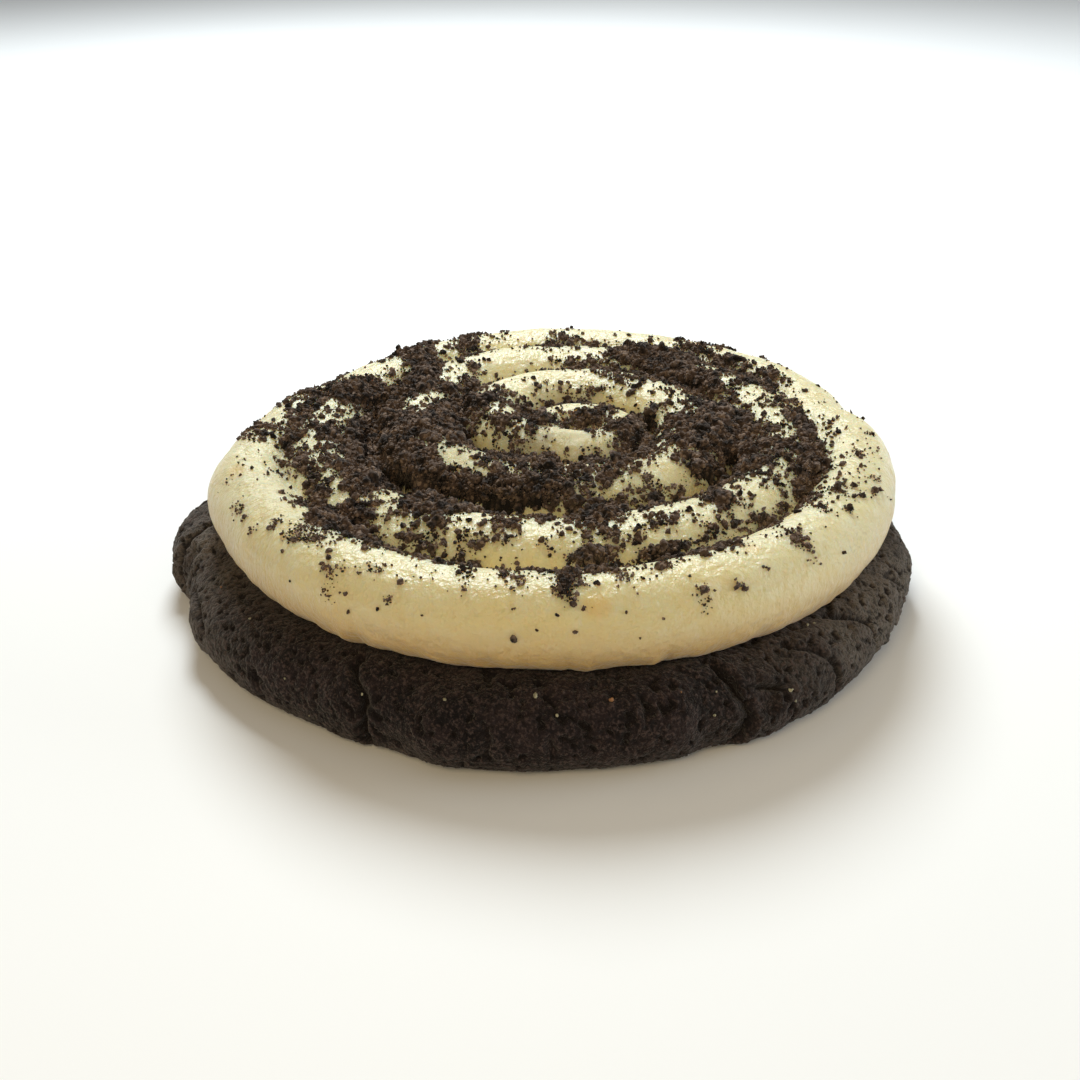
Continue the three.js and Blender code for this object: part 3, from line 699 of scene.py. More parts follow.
def crust_relief(direction, down, places, look):
    """The dough's uneven surface: lumps, grit, pores, wrinkles, cracks and sunk crust, and how far each
    place stands out of its pores and cracks, from 0 to 1, which sets the painted shade in them."""
    degrees = np.degrees(direction)
    relief = lumps(places, (0.34, 6.5, 11), (0.16, 2.7, 12)) + grit(places, 0.2, 1.3, 0.5, 0.2, 1, 18)
    # Fine grit and shallow holes, whose low places also get painted shade in the crust's colour
    gritty = grit(places, 0.26, 0.66, 0.5, 0.3, 1, 15) + lumps(places, (0.06, 1.1, 13))
    crumbly = smooth_noise(places, 4.5 * MM, 16)
    gritty -= look.pore_depth * smooth_step(smooth_noise(places, 0.9 * MM, 17) + 0.2 * crumbly, 0.5, 0.7)
    # Round pores, and fine cracks between plates of crust
    first, _, mark = nearest_grains(places, 2.3 * MM, 21)
    relief -= look.pore_depth * hump(first, 0.17) * (mark > 0.6) * (0.4 + mark)
    first, second, mark = nearest_grains(places + 0.5 * MM * crumbly[:, None], 4.6 * MM, 31)
    relief -= 0.26 * MM * hump(second - first, 0.05) * (mark > 0.6)
    # Slanting wrinkles
    weight = sum(strength * hump(off_by(degrees, to), reach) for to, reach, strength in WRINKLED)
    run = direction * look.radius
    slant = np.stack([(run * 0.55 + down) / 6, down * 0.8 - run, run * 0], axis=1)
    slant[:, 1] += lumps(places, (0.5, 4, 41))
    wrinkles = lumps(slant, (0.15, 1, 42)) + lumps(places, (0.26, 3.4, 43))
    relief += weight * (wrinkles + grit(places, 0.3, 1.7, 0.55, 0.4, 1, 44))
    ragged = 0.3 * smooth_noise(places, 1.4 * MM, 51)
    for to, low, half_run, half_down, depth in SUNK_CRUST:
        away = off_by(degrees, to) * DEGREE * look.radius
        reach = np.hypot(away / (half_run * MM), (down - low * MM) / (half_down * MM)) + ragged
        relief -= depth * MM * smooth_step(-reach, -1.15, -0.85)
    cracks = crack_relief(direction, down, places, look)
    shown = smooth_step(gritty, -0.13 * MM, 0.05 * MM) * (1 - smooth_step(-cracks, 0.25 * MM, 0.9 * MM))
    return relief + gritty + cracks, shown


def dry_crust_and_sheen(direction, places):
    """How dry and pale the crust is, from 0 to 1: mostly where it is wrinkled. Its pale colour is partly
    painted sheen of light grazing the rim's sides.
    """
    degrees = np.degrees(direction)
    dry = np.max([strength * hump(off_by(degrees, to), reach) for to, reach, strength in WRINKLED], axis=0)
    return np.clip(dry * (1 + 0.7 * smooth_noise(places, 5 * MM, 61)), 0, 1)


def rim_place(direction, down, look):
    """The place on the smooth rim at a direction in degrees and a length down it, and the
    way out from there."""
    radius, height, length = rim_profile(look, 0.05 * MM)
    turn = direction * DEGREE
    r = np.interp(down, length, radius) + outline_swell(turn)
    z = np.interp(down, length, height)
    ahead = np.interp(down + 0.1 * MM, length, height) - z
    wide = np.interp(down + 0.1 * MM, length, radius) + outline_swell(turn) - r
    out = Vector((-ahead * math.cos(turn), -ahead * math.sin(turn), wide)).normalized()
    return Vector((r * math.cos(turn), r * math.sin(turn), z)), out


def build_cookie(look):
    """The cookie as one closed mesh: fine over the rim, and plain where the cream hides it."""
    rim_radius, rim_height, rim_length = rim_profile(look, RIM_STEP)
    flat_radius = np.arange(look.radius - look.upper_round - RIM_STEP, FINE_TOP_FROM, -RIM_STEP)[::-1]
    rows = [(share, radius * MM, look.thickness, 0) for share, radius in HIDDEN_TOP]
    rows += [(1, radius, look.thickness, radius - flat_radius[-1] - RIM_STEP) for radius in flat_radius]
    rows += [(1, *row) for row in zip(rim_radius, rim_height, rim_length)]
    rows += [(share, radius * MM, 0, 0) for share, radius in UNDERSIDE]
    rings = []
    downs = []
    for share, radius, height, down in rows:
        count = round(RIM_SPOKES * share)
        turn = np.arange(count) * (2 * math.pi / count)
        wide = radius + outline_swell(turn) * (radius / look.radius)
        level = np.full_like(turn, height)
        rings.append(np.stack([wide * np.cos(turn), wide * np.sin(turn), level], axis=1))
        downs.append(np.full_like(turn, down))
    points, faces = skin_rings(rings, (0, 0, look.thickness), (0, 0, 0))
    piece = mesh_object("cookie", points, faces)
    down = np.concatenate([*downs, [0, 0]])
    direction = np.arctan2(points[:, 1], points[:, 0])
    reach = np.hypot(points[:, 0], points[:, 1])
    shown = smooth_step(reach, *RELIEF_RADII) * smooth_step(points[:, 2], *RELIEF_HEIGHTS)
    relief, standing = crust_relief(direction, down, points, look)
    moved = points + vertex_normals(piece.data) * (relief * shown)[:, None]
    highest = look.thickness + RIM_RISE * smooth_step(reach, *RISE_RADII)
    moved[:, 2] = np.clip(moved[:, 2], 0, highest)
    move_points(piece.data, moved)
    store_values(piece.data, "dry_crust_and_sheen", dry_crust_and_sheen(direction, points))
    store_values(piece.data, "standing", standing)
    piece.data.materials.append(cookie_material(look))
    return piece


def loop_at(angle):
    """The row of LOOPS that holds at angles in degrees along the rope, blended between two
    rows where the rope crosses from one turn to the next."""
    progress = sum(smooth_step(angle, low, high) for low, high in CROSSINGS)
    index = np.minimum(progress.astype(int), len(LOOPS) - 2)
    share = (progress - index)[:, None]
    loops = np.array(LOOPS)
    return loops[index] * (1 - share) + loops[index + 1] * share


def crest_at(angle):
    """The crest of the rope in metres at angles in degrees along it."""
    loop = loop_at(angle)
    turn = np.radians(angle)
    first_turn = angle < ROPE_BEGIN + 360
    out = sum(far * hump(off_by(angle, to), reach) * first_turn for to, reach, far in OUTER_FLATS)
    x = CREAM_CENTRE[0] + loop[:, 0] + (loop[:, 2] + out) * np.cos(turn)
    y = CREAM_CENTRE[1] + loop[:, 1] + (loop[:, 3] + out) * np.sin(turn)
    return np.stack([x, y], axis=1) * MM


def half_width_at(angle):
    uneven = ROPE_UNEVEN * np.sin(2 * math.pi * angle / UNEVEN_DEGREES)
    return (loop_at(angle)[:, 4] + uneven) * MM


class RopeField:
    """The cream seen from above, on a fine square grid: how high its top lies, and how high
    the crest of the rope lies there."""

    def __init__(self, look):
        self.step = FIELD_STEP
        self.reach = FIELD_REACH
        self.count = 2 * round(self.reach / self.step) + 1
        shape = (self.count, self.count)
        self.top = np.full(shape, ROPE_MIDDLE_Z - look.groove_depth)
        self.crest = np.full(shape, ROPE_MIDDLE_Z + ROPE_HALF_HEIGHT)
        self.pipe_rope()
        self.close_outer_turn()
        self.fill_dimple()
        for _ in range(look.softening):
            self.top = soften(self.top)

    def pipe_rope(self):
        fine = np.arange(ROPE_BEGIN, ROPE_END, 0.05)
        crests = crest_at(fine)
        length = np.concatenate([[0], np.cumsum(np.linalg.norm(np.diff(crests, axis=0), axis=1))])
        even = np.arange(0, length[-1], ROPE_STEP * MM)
        angle = np.interp(even, length, fine)
        begun = np.clip((angle - ROPE_BEGIN) / TAIL_TAPER, 0, 1)
        taper = np.maximum(np.sqrt(1 - (1 - begun) ** 2), 0.3)
        places = np.column_stack([even, angle * 0, angle * 0])
        tall = ROPE_HALF_HEIGHT * taper + lumps(places, (0.28, 13, 5))
        half = half_width_at(angle) * taper + lumps(places, (0.22, 10, 6))
        for place, wide, high in zip(crest_at(angle), half, tall):
            self.lay(place, wide, high)

    def lay(self, place, half, tall):
        """Lays one round of the rope: a half ellipse turned about its crest."""
        column, row = np.round((place + self.reach) / self.step).astype(int)
        span = int(half / self.step) + 1
        rows = slice(max(row - span, 0), row + span + 1)
        columns = slice(max(column - span, 0), column + span + 1)
        ys = np.arange(rows.start, min(rows.stop, self.count)) * self.step - self.reach
        xs = np.arange(columns.start, min(columns.stop, self.count)) * self.step - self.reach
        dx = (xs - place[0])[None, :]
        dy = (ys - place[1])[:, None]
        away = (dx**2 + dy**2) / half**2
        height = np.where(away < 1, ROPE_MIDDLE_Z + tall * np.sqrt(np.clip(1 - away, 0, 1)), 0)
        higher = height > self.top[rows, columns]
        self.top[rows, columns] = np.where(higher, height, self.top[rows, columns])
        self.crest[rows, columns] = np.where(higher, ROPE_MIDDLE_Z + tall, self.crest[rows, columns])

    def close_outer_turn(self):
        """Where the rope's tail begins, its first turn leans on the second one."""
        for direction in np.arange(OUTER_TURN_BEGINS - 12, OUTER_TURN_WHOLE, 0.5):
            place, _, half = outer_crest(np.array([direction]))
            self.lay(place[0], half[0], ROPE_HALF_HEIGHT)

    def fill_dimple(self):
        axis = (np.arange(self.count) * self.step - self.reach) / MM
        dx = axis[None, :] - CREAM_CENTRE[0] - DIMPLE_PLACE[0]
        dy = axis[:, None] - CREAM_CENTRE[1] - DIMPLE_PLACE[1]
        inside = np.hypot(dx, dy) < DIMPLE_REACH
        self.top = np.where(inside, np.maximum(self.top, DIMPLE_Z), self.top)

    def sample(self, grid, x, y):
        """The value of one of the grids at each place, blended between its corners."""
        column = np.clip((x + self.reach) / self.step, 0, self.count - 1.001)
        row = np.clip((y + self.reach) / self.step, 0, self.count - 1.001)
        c, r = column.astype(int), row.astype(int)
        u, v = column - c, row - r
        low = grid[r, c] * (1 - u) + grid[r, c + 1] * u
        high = grid[r + 1, c] * (1 - u) + grid[r + 1, c + 1] * u
        return low * (1 - v) + high * v

    def sunk(self, points):
        """How far the cream's top lies below the rope's crest at each place."""
        x, y = points[:, 0], points[:, 1]
        return self.sample(self.crest, x, y) - self.sample(self.top, x, y)


def soften(grid):
    """One light blur, which rounds the creases where turns of the rope meet."""
    padded = np.pad(grid, 1, mode="edge")
    rows = (padded[:-2] + 2 * padded[1:-1] + padded[2:]) / 4
    return (rows[:, :-2] + 2 * rows[:, 1:-1] + rows[:, 2:]) / 4


def outer_crest(direction):
    """The crest of the outermost turn at directions in degrees, the way outwards from
    there, and the half width. It blends from the second turn to the tail."""
    turned = direction % 360
    first = np.where(turned < OUTER_TURN_BEGINS, turned + 360, turned)
    second = np.minimum(first + 360, OUTER_TURN_WHOLE + 360)
    own = smooth_step(first, OUTER_TURN_BEGINS - 2, OUTER_TURN_BEGINS + 20)
    own = np.where(first > OUTER_TURN_WHOLE, 1.0, own)[:, None]
    blended = crest_at(first) * own + crest_at(second) * (1 - own)
    half = half_width_at(first) * own[:, 0] + half_width_at(second) * (1 - own[:, 0])
    outward = np.stack([np.cos(np.radians(direction)), np.sin(np.radians(direction))], axis=1)
    return blended, outward, half


def foot_lips(direction):
    """Dents and little lips along the cream's lower edge, in metres outwards."""
    degrees = np.degrees(direction) % 360
    return sum(high * MM * hump(off_by(degrees, to), reach) for to, reach, high in FOOT_LIPS)


def cream_rings(look, field):
    """Rings of points over the cream, from its middle out over the outer turn and down to
    its foot, each with its angle over the outer turn's section, and the middle."""
    direction = np.arange(CREAM_RAYS) * (360.0 / CREAM_RAYS)
    crest, outward, half = outer_crest(direction)
    pole = (np.array(CREAM_CENTRE) + RINGS_MIDDLE) * MM
    fine = np.linspace(0, 1, PROFILE_PLACES)
    places = pole + (crest - pole)[:, None, :] * fine[None, :, None]
    height = field.sample(field.top, places[..., 0], places[..., 1])
    level = np.linalg.norm(crest - pole, axis=1)[:, None] / (len(fine) - 1)
    step = np.hypot(np.broadcast_to(level, (CREAM_RAYS, len(fine) - 1)), np.diff(height, axis=1))
    run = np.concatenate([np.zeros((CREAM_RAYS, 1)), np.cumsum(step, axis=1)], axis=1)
    count = round(run[:, -1].mean() / look.mesh_step)
    shares = np.linspace(0, 1, count + 1)[1:]
    kept = np.stack([np.interp(shares * ray[-1], ray, fine) for ray in run])
    rings = []
    for share in kept.T:
        radius = share.mean() * OUTER_RADIUS
        thinned = next((every for within, every in THINNED_WITHIN if radius < within), 1)
        spot = pole + (crest - pole)[::thinned] * share[::thinned, None]
        rings.append((np.column_stack([spot, field.sample(field.top, *spot.T)]), 90.0))
    foot = math.degrees(math.asin((CREAM_FOOT_Z - ROPE_MIDDLE_Z) / ROPE_HALF_HEIGHT))
    crest_z = field.sample(field.top, *crest.T)
    for section in np.linspace(90, foot, OUTER_RINGS + 1)[1:]:
        turn = math.radians(section)
        spot = crest + outward * (half * math.cos(turn))[:, None]
        tall = crest_z - ROPE_MIDDLE_Z if section > 0 else np.full(CREAM_RAYS, ROPE_HALF_HEIGHT)
        z = ROPE_MIDDLE_Z + tall * math.sin(turn)
        # The grid holds the softened top, but not the steep outermost side
        if section > 0 and math.cos(turn) < 0.97:
            z = np.maximum(z, field.sample(field.top, *spot.T))
        rings.append((np.column_stack([spot, z]), section))
    return rings, pole


def build_cream(look, field):
    """The cream as one closed mesh, with values for its material on every point."""
    rings, pole = cream_rings(look, field)
    pole_z = float(field.sample(field.top, pole[:1], pole[1:])[0])
    skins = [ring for ring, _ in rings]
    foot = skins[-1]
    for thinned, share in CREAM_UNDERSIDE:
        inner_foot = foot[::thinned].copy()
        inner_foot[:, :2] = pole + (inner_foot[:, :2] - pole) * share
        skins.append(inner_foot)
    points, faces = skin_rings(skins, (*pole, pole_z), (*pole, CREAM_FOOT_Z))
    piece = mesh_object("cream", points, faces)
    section = np.concatenate([np.full(len(ring), angle) for ring, angle in rings])
    shown = len(section)
    direction = np.arctan2(points[:, 1] - CREAM_CENTRE[1] * MM, points[:, 0] - CREAM_CENTRE[0] * MM)
    relief = look.unevenness * lumps(points, (0.15, 7, 61), (0.09, 2.8, 62), (0.05, 1.4, 64))
    low = np.zeros(len(points))
    low[:shown] = smooth_step(-section, 5, 40)
    outward = np.stack([np.cos(direction), np.sin(direction), direction * 0], axis=1)
    edge = foot_lips(direction) + 0.22 * MM * layered_noise(points, 2.6 * MM, 2, 63)
    moved = points + vertex_normals(piece.data) * relief[:, None]
    moved += outward * (low * edge)[:, None]
    underneath = points[:, 2] <= CREAM_FOOT_Z + 0.01 * MM
    moved[underneath, 2] = CREAM_FOOT_Z
    moved[shown:-2] = points[shown:-2]
    moved[:, 2] = np.maximum(moved[:, 2], CREAM_FOOT_Z)
    move_points(piece.data, moved)
    store_flecks(piece.data, points, direction)
    piece.data.materials.append(cream_material(look))
    return piece


def store_flecks(mesh, points, direction):
    """Where the cream is streaked, and where it has flecks of butter, from 0 to 1."""
    degrees = np.degrees(direction) % 360
    lit_side = hump(degrees - 205, 32) + 0.45 * hump(degrees - 330, 40)
    store_values(mesh, "streaked", np.clip(lit_side, 0.12, 1))
    butter = np.zeros(len(points))
    for to, at, reach in BUTTER_FLECKS:
        away = np.linalg.norm((points - section_place(to, at)) * (1, 1, 1.2), axis=1) / (reach * MM)
        butter = np.maximum(butter, smooth_step(-away, -1.25, -0.4))
    store_values(mesh, "butter", butter * 0.55)


def section_place(direction, section):
    """A place on the outermost turn's smooth surface: 90 is its crest, 0 its outer side."""
    crest, outward, half = outer_crest(np.array([float(direction)]))
    turn = math.radians(section)
    spot = crest[0] + outward[0] * half[0] * math.cos(turn)
    return np.array([*spot, ROPE_MIDDLE_Z + ROPE_HALF_HEIGHT * math.sin(turn)])


def seen_place(points):
    """Where each place lies in the plan view that the drifts were measured in: its line of
    sight from the camera is followed to one level."""
    from_camera = points + (0, 0, CRUMB_STAND) - np.array(SEEN_FROM)
    share = (SEEN_LEVEL - SEEN_FROM[2]) / np.minimum(from_camera[:, 2], -1 * MM)
    place = np.array(SEEN_FROM[:2]) + from_camera[:, :2] * share[:, None]
    return place[:, 0] / MM - CREAM_CENTRE[0], place[:, 1] / MM - CREAM_CENTRE[1]


def drift_amount(x, y, rows):
    """How thickly all the drifts or bare places of one table lie at each place."""
    total = np.zeros_like(x)
    for at_x, at_y, long, wide, turn, amount in rows:
        c, s = math.cos(turn * DEGREE), math.sin(turn * DEGREE)
        dx, dy = x - at_x, y - at_y
        u, v = dx * c + dy * s, dy * c - dx * s
        total += amount * np.exp(-0.5 * ((u / long) ** 2 + (v / wide) ** 2))
    return total


def crumb_cover(points, field, clusters=CLUSTERS):
    """How thickly crumbs lie at each place on the cream, from 0 to a little over 1."""
    x, y = points[:, 0], points[:, 1]
    dx, dy = x / MM - CREAM_CENTRE[0], y / MM - CREAM_CENTRE[1]
    flat = np.column_stack([x, y, x * 0])
    # Drifts, thicker in the grooves and ragged at their edges
    seen = seen_place(points)
    cover = drift_amount(*seen, DRIFTS) * np.clip(1 - drift_amount(*seen, BARE_PLACES), 0, 1)
    cover *= 0.85 + 0.4 * np.clip(field.sunk(points) / (4 * MM), 0, 1)
    ragged = layered_noise(flat, 5 * MM, 4, 81)
    cover = cover + 0.7 * cover * (1.35 - np.minimum(cover, 1.35)) * ragged
    # Sprinkled crumbs and small clusters
    degrees = np.degrees(np.arctan2(dy, dx)) % 360
    away = np.hypot(dx, dy)
    clumped = np.clip(0.5 + 1.1 * layered_noise(flat, 3.2 * MM, 3, 85), 0, 2)
    for low, high, inner, outer, amount in SPRINKLED:
        turned = (degrees - low) % 360
        inside = smooth_step(turned, 0, 6) * (1 - smooth_step(turned, high - low - 6, high - low))
        inside = np.where(high - low >= 360, 1, inside)
        ring = smooth_step(away, inner - 1, inner + 1) * (1 - smooth_step(away, outer - 1.5, outer + 1.5))
        cover += amount * inside * ring * clumped
    for to, at, reach, amount in clusters:
        far = np.linalg.norm(points - section_place(to, at), axis=1) / (reach * MM)
        cover += amount * np.exp(-0.5 * far**2)
    return np.clip(cover, 0, 1.4)


def bed_thickness(points, cover, field):
    """How thick the unbroken bed of crumbs lies: thickest where it fills the grooves."""
    return smooth_step(cover, 0.85, 1.25) * (0.45 * MM + 0.4 * np.clip(field.sunk(points), 0, 1))


def crumb_grain(points):
    """The crumbly relief of a bed of crumbs, in metres."""
    grains = grit(points, 0.46, 0.85, 0.55, 0.4, 1.2, 91) + grit(points, 0.3, 1.6, 0.5, 0.3, 1.2, 95)
    return grains + lumps(points, (0.25, 3.2, 99))


def build_crumb_bed(look, field):
    """The unbroken bed of crumbs as closed shells: a crumbly top, and an underside that is
    sunk just below the cream's surface."""
    axis = np.arange(-BED_REACH, BED_REACH, look.bed_step)
    centre = np.array(CREAM_CENTRE) * MM
    x, y = (grid.ravel() for grid in np.meshgrid(axis + centre[0], axis))
    crest = outer_crest(np.degrees(np.arctan2(y, x - centre[0])))[0]
    z = field.sample(field.top, x, y)
    places = np.column_stack([x, y, z])
    away = np.linalg.norm(places[:, :2] - centre, axis=1)
    inside = away < np.linalg.norm(crest - centre, axis=1) + PAST_CREST
    thick = bed_thickness(places, crumb_cover(places, field), field) * inside
    solid = (thick > BED_THINNEST).reshape(len(axis), len(axis))
    cells = clean_cells(solid[:-1, :-1] & solid[1:, :-1] & solid[:-1, 1:] & solid[1:, 1:])
    grain = crumb_grain(places)
    top = np.column_stack([x, y, z + thick + grain * np.clip(thick / (0.5 * MM), 0.4, 1)])
    under = np.column_stack([x, y, z - BED_UNDERSIDE])
    # The standing value makes the bed darker in its low places and paler on its high grains: painted shade
    # and painted light
    return shell_object("crumb_bed", top, under, cells, smooth_step(grain, -0.05 * MM, 0.22 * MM))


def clean_cells(cells):
    """Drops cells with fewer than two neighbours, and fills in where cells would meet only
    at a corner, so that the shell over them is closed and clean."""
    for _ in range(3):
        around = np.pad(cells, 1)
        beside = around[:-2, 1:-1].astype(int) + around[2:, 1:-1] + around[1:-1, :-2] + around[1:-1, 2:]
        cells = cells & (beside >= 2)
    a, b, c, d = cells[:-1, :-1], cells[1:, 1:], cells[1:, :-1], cells[:-1, 1:]
    crossed = (a & b & ~c & ~d) | (c & d & ~a & ~b)
    for row, column in np.argwhere(crossed):
        cells[row : row + 2, column : column + 2] = True
    return cells


def shell_object(name, top, under, cells, standing):
    """A closed shell between two sheets of points on one grid, over the chosen cells."""
    side = cells.shape[0] + 1
    rows, columns = np.nonzero(cells)
    a = rows * side + columns
    quads = np.stack([a, a + 1, a + side + 1, a + side], axis=1)
    used, index = np.unique(quads, return_inverse=True)
    quads = index.reshape(-1, 4)
    points = np.vstack([top[used], under[used]])
    lower = quads[:, ::-1] + len(used)
    edges = np.vstack([quads[:, [k, (k + 1) % 4]] for k in range(4)])
    key = edges[:, 0] * len(used) + edges[:, 1]
    back = edges[:, 1] * len(used) + edges[:, 0]
    rim = edges[~np.isin(key, back)]
    walls = np.stack([rim[:, 1], rim[:, 0], rim[:, 0] + len(used), rim[:, 1] + len(used)], axis=1)
    piece = mesh_object(name, points, np.vstack([quads, lower, walls]).tolist())
    store_values(piece.data, "standing", np.concatenate([standing[used], standing[used] * 0]))
    return piece


def crumb_ground(cream, field):
    """The surface that loose crumbs lie on: the cream's upper side, raised where the bed
    of crumbs covers it, with the cover of each kind of crumb stored on it."""
    mesh = cream.data.copy()
    points = vertex_points(mesh)
    cover = crumb_cover(points, field)
    level = smooth_step(vertex_normals(mesh)[:, 2], 0.05, 0.3)
    points[:, 2] += bed_thickness(points, cover, field) * level
    move_points(mesh, points)
    upward = vertex_normals(mesh)[:, 2]
    piled = crumb_cover(points, field, ())
    cover -= piled * (1 - smooth_step(upward, 0.1, 0.55))
    # The thicker the cover, the more crumbs it takes to fill the last gaps
    share = -np.log(1 - 0.95 * np.clip(cover, 0, 1)) / 3 * smooth_step(upward, -0.1, 0.25)
    gathered = 0.2 + 3.4 * smooth_step(layered_noise(points, 1.4 * MM, 2, 87), 0.0, 0.7)
    share *= 1 + (gathered - 1) * np.clip(1.2 - cover, 0, 1)
    share *= 1 - 0.5 * smooth_step(cover, 0.95, 1.2)
    lone = np.clip(1 - piled / np.maximum(cover, 0.05), 0, 1)
    for kind, covered in (
        ("dust", share * (0.6 + 0.7 * smooth_step(cover, 0.1, 0.6)) * (1 + 0.5 * lone)),
        ("fine", share * (1 + 0.6 * lone)),
        ("small", share * (1 - 0.65 * lone)),
        ("medium", share * smooth_step(piled, 0.1, 0.7)),
        ("coarse", share * smooth_step(piled, 0.6, 1.1)),
    ):
        store_values(mesh, kind + "_cover", covered)
    return new_object("crumb_ground", mesh)


def shard_shape(name, seed, corners):
    """One angular crumb of about 1 m across: the hull round a few uneven corners."""
    turn = math.pi * (3 - math.sqrt(5))
    hull = bmesh.new()
    for k in range(corners):
        draws = [corner_draws(np.array([[seed, k, axis]]), 17)[0] for axis in range(3)]
        z = 1 - (2 * k + 1) / corners + 0.5 * (draws[0] - 0.5)
        z = max(-0.98, min(0.98, z))
        around = turn * k + 1.4 * (draws[1] - 0.5)
        far = 0.5 * (0.72 + 0.5 * draws[2])
        flat = far * math.sqrt(1 - z * z)
        hull.verts.new((flat * math.cos(around), 0.85 * flat * math.sin(around), far * z))
    found = bmesh.ops.convex_hull(hull, input=hull.verts)
    bmesh.ops.delete(hull, geom=found["geom_interior"], context="VERTS")
    bmesh.ops.recalc_face_normals(hull, faces=hull.faces)
    mesh = bpy.data.meshes.new(name)
    hull.to_mesh(mesh)
    hull.free()
    if signed_volume(mesh) < 0:
        mesh.flip_normals()
    return new_object(name, mesh)


def crumb_shape(name, seed, rounds, roughness):
    """One jagged crumb of about 1 m across, to be scaled where it lies."""
    bpy.ops.mesh.primitive_ico_sphere_add(subdivisions=rounds, radius=0.5)
    crumb = bpy.context.object
    crumb.name = name
    points = vertex_points(crumb.data)
    jag = 1 + roughness * smooth_noise(points + seed, 0.55, seed)
    if rounds > 1:
        jag += 0.55 * roughness * smooth_noise(points + seed, 0.22, seed + 1)
    squash = 0.72 + 0.5 * np.array([corner_draws(np.array([[seed, k, 0]]), 7)[0] for k in range(3)])
    move_points(crumb.data, points * jag[:, None] * squash)
    crumb.data.polygons.foreach_set("use_smooth", [rounds > 2] * len(crumb.data.polygons))
    return crumb


def scatter_tree(name, material):
    """Geometry Nodes that strew crumbs over a surface where its cover says so."""
    tree = bpy.data.node_groups.new(name, "GeometryNodeTree")
    for label, kind in (
        ("Geometry", "Geometry"), ("Cover Name", "String"), ("Crumbs Per Area", "Float"),
        ("Smallest", "Float"), ("Largest", "Float"), ("Evenness", "Float"), ("Lift", "Float"),
        ("Seed", "Int"), ("Shapes", "Collection"),
    ):
        tree.interface.new_socket(label, in_out="INPUT", socket_type="NodeSocket" + kind)
    tree.interface.new_socket("Geometry", in_out="OUTPUT", socket_type="NodeSocketGeometry")
    sheet = NodeSheet(tree)
    given = sheet.add("NodeGroupInput").outputs
    cover = sheet.add("GeometryNodeInputNamedAttribute", {"data_type": "FLOAT"}, Name=given["Cover Name"])
    density = sheet.math("MULTIPLY", cover.outputs["Attribute"], given["Crumbs Per Area"])
    strew = sheet.add(
        "GeometryNodeDistributePointsOnFaces", {"distribute_method": "RANDOM"},
        Mesh=given["Geometry"], Density=density, Seed=given["Seed"],
    ).outputs
    share = sheet.add("FunctionNodeRandomValue", {"data_type": "FLOAT"}, Seed=given["Seed"]).outputs[1]
    uneven = sheet.math("POWER", share, given["Evenness"])
    size = sheet.add(
        "ShaderNodeMapRange", None, Value=uneven, To_Min=given["Smallest"], To_Max=given["Largest"]
    ).outputs["Result"]
    turn = sheet.add(
        "FunctionNodeRandomValue", {"data_type": "FLOAT_VECTOR"}, Max=(math.tau,) * 3, Seed=given["Seed"]
    ).outputs[0]
    rise = sheet.math("MULTIPLY", size, given["Lift"])
    out = sheet.add("ShaderNodeVectorMath", {"operation": "SCALE"}, Scale=rise, **{"0": strew["Normal"]})
    lift = sheet.add("GeometryNodeSetPosition", None, Geometry=strew["Points"], Offset=out.outputs["Vector"])
    shapes = sheet.add(
        "GeometryNodeCollectionInfo", None,
        Separate_Children=True, Reset_Children=True, Collection=given["Shapes"],
    )
    place = sheet.add(
        "GeometryNodeInstanceOnPoints", None, Pick_Instance=True, Points=lift.outputs["Geometry"],
        Instance=shapes.outputs["Instances"], Rotation=turn, Scale=size,
    )
    real = sheet.add("GeometryNodeRealizeInstances", None, Geometry=place.outputs["Instances"])
    finish = sheet.add(
        "GeometryNodeSetMaterial", None, Material=material, Geometry=real.outputs["Geometry"]
    )
    sheet.add("NodeGroupOutput", None, Geometry=finish.outputs["Geometry"])
    return tree


def scatter_crumbs(name, ground, material, shapes, values):
    """Strews one kind of crumb over the ground, and gives it back as one plain mesh."""
    folder = bpy.data.collections.new(name + "_shapes")
    for shape in shapes:
        for owner in list(shape.users_collection):
            owner.objects.unlink(shape)
        folder.objects.link(shape)
    tree = scatter_tree(name + "_tree", material)
    source = new_object(name + "_source", ground.data)
    modifier = source.modifiers.new("strew", "NODES")
    modifier.node_group = tree
    values = {**values, "Shapes": folder}
    for socket in tree.interface.items_tree:
        if socket.in_out == "INPUT" and socket.name in values:
            modifier[socket.identifier] = values[socket.name]
    bpy.context.view_layer.update()
    ready = source.evaluated_get(bpy.context.evaluated_depsgraph_get())
    mesh = bpy.data.meshes.new_from_object(ready)
    if not mesh.polygons:
        raise RuntimeError(name + " came out empty")
    mesh.name = name
    for attribute in [a.name for a in mesh.attributes if a.name.endswith("_cover")]:
        mesh.attributes.remove(mesh.attributes[attribute])
    source.modifiers.remove(modifier)
    for spare in (source, *shapes):
        bpy.data.objects.remove(spare)
    bpy.data.collections.remove(folder)
    return new_object(name, mesh)


def joined_lumps(name, rows, material):
    """Lumps set one by one as one mesh; a row is a place, a way out, a size and a seed."""
    points, faces, start = [], [], 0
    for place, out, size, seed in rows:
        shape = crumb_shape("lump", seed, 3, 0.5)
        local = vertex_points(shape.data) * size + np.array(place) + np.array(out) * size * 0.2
        points.append(local)
        faces += [[start + v for v in face.vertices] for face in shape.data.polygons]
        start += len(local)
        bpy.data.objects.remove(shape)
    piece = mesh_object(name, np.vstack(points), faces)
    piece.data.materials.append(material)
    return piece


def settle(piece, slot, *nodes):
    """Ties a finished piece to the cookie's one body, and hides the CAD parts that it stands for. The slot
    is not used.
    """
    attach(piece, "root")
    if nodes:
        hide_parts(*nodes)


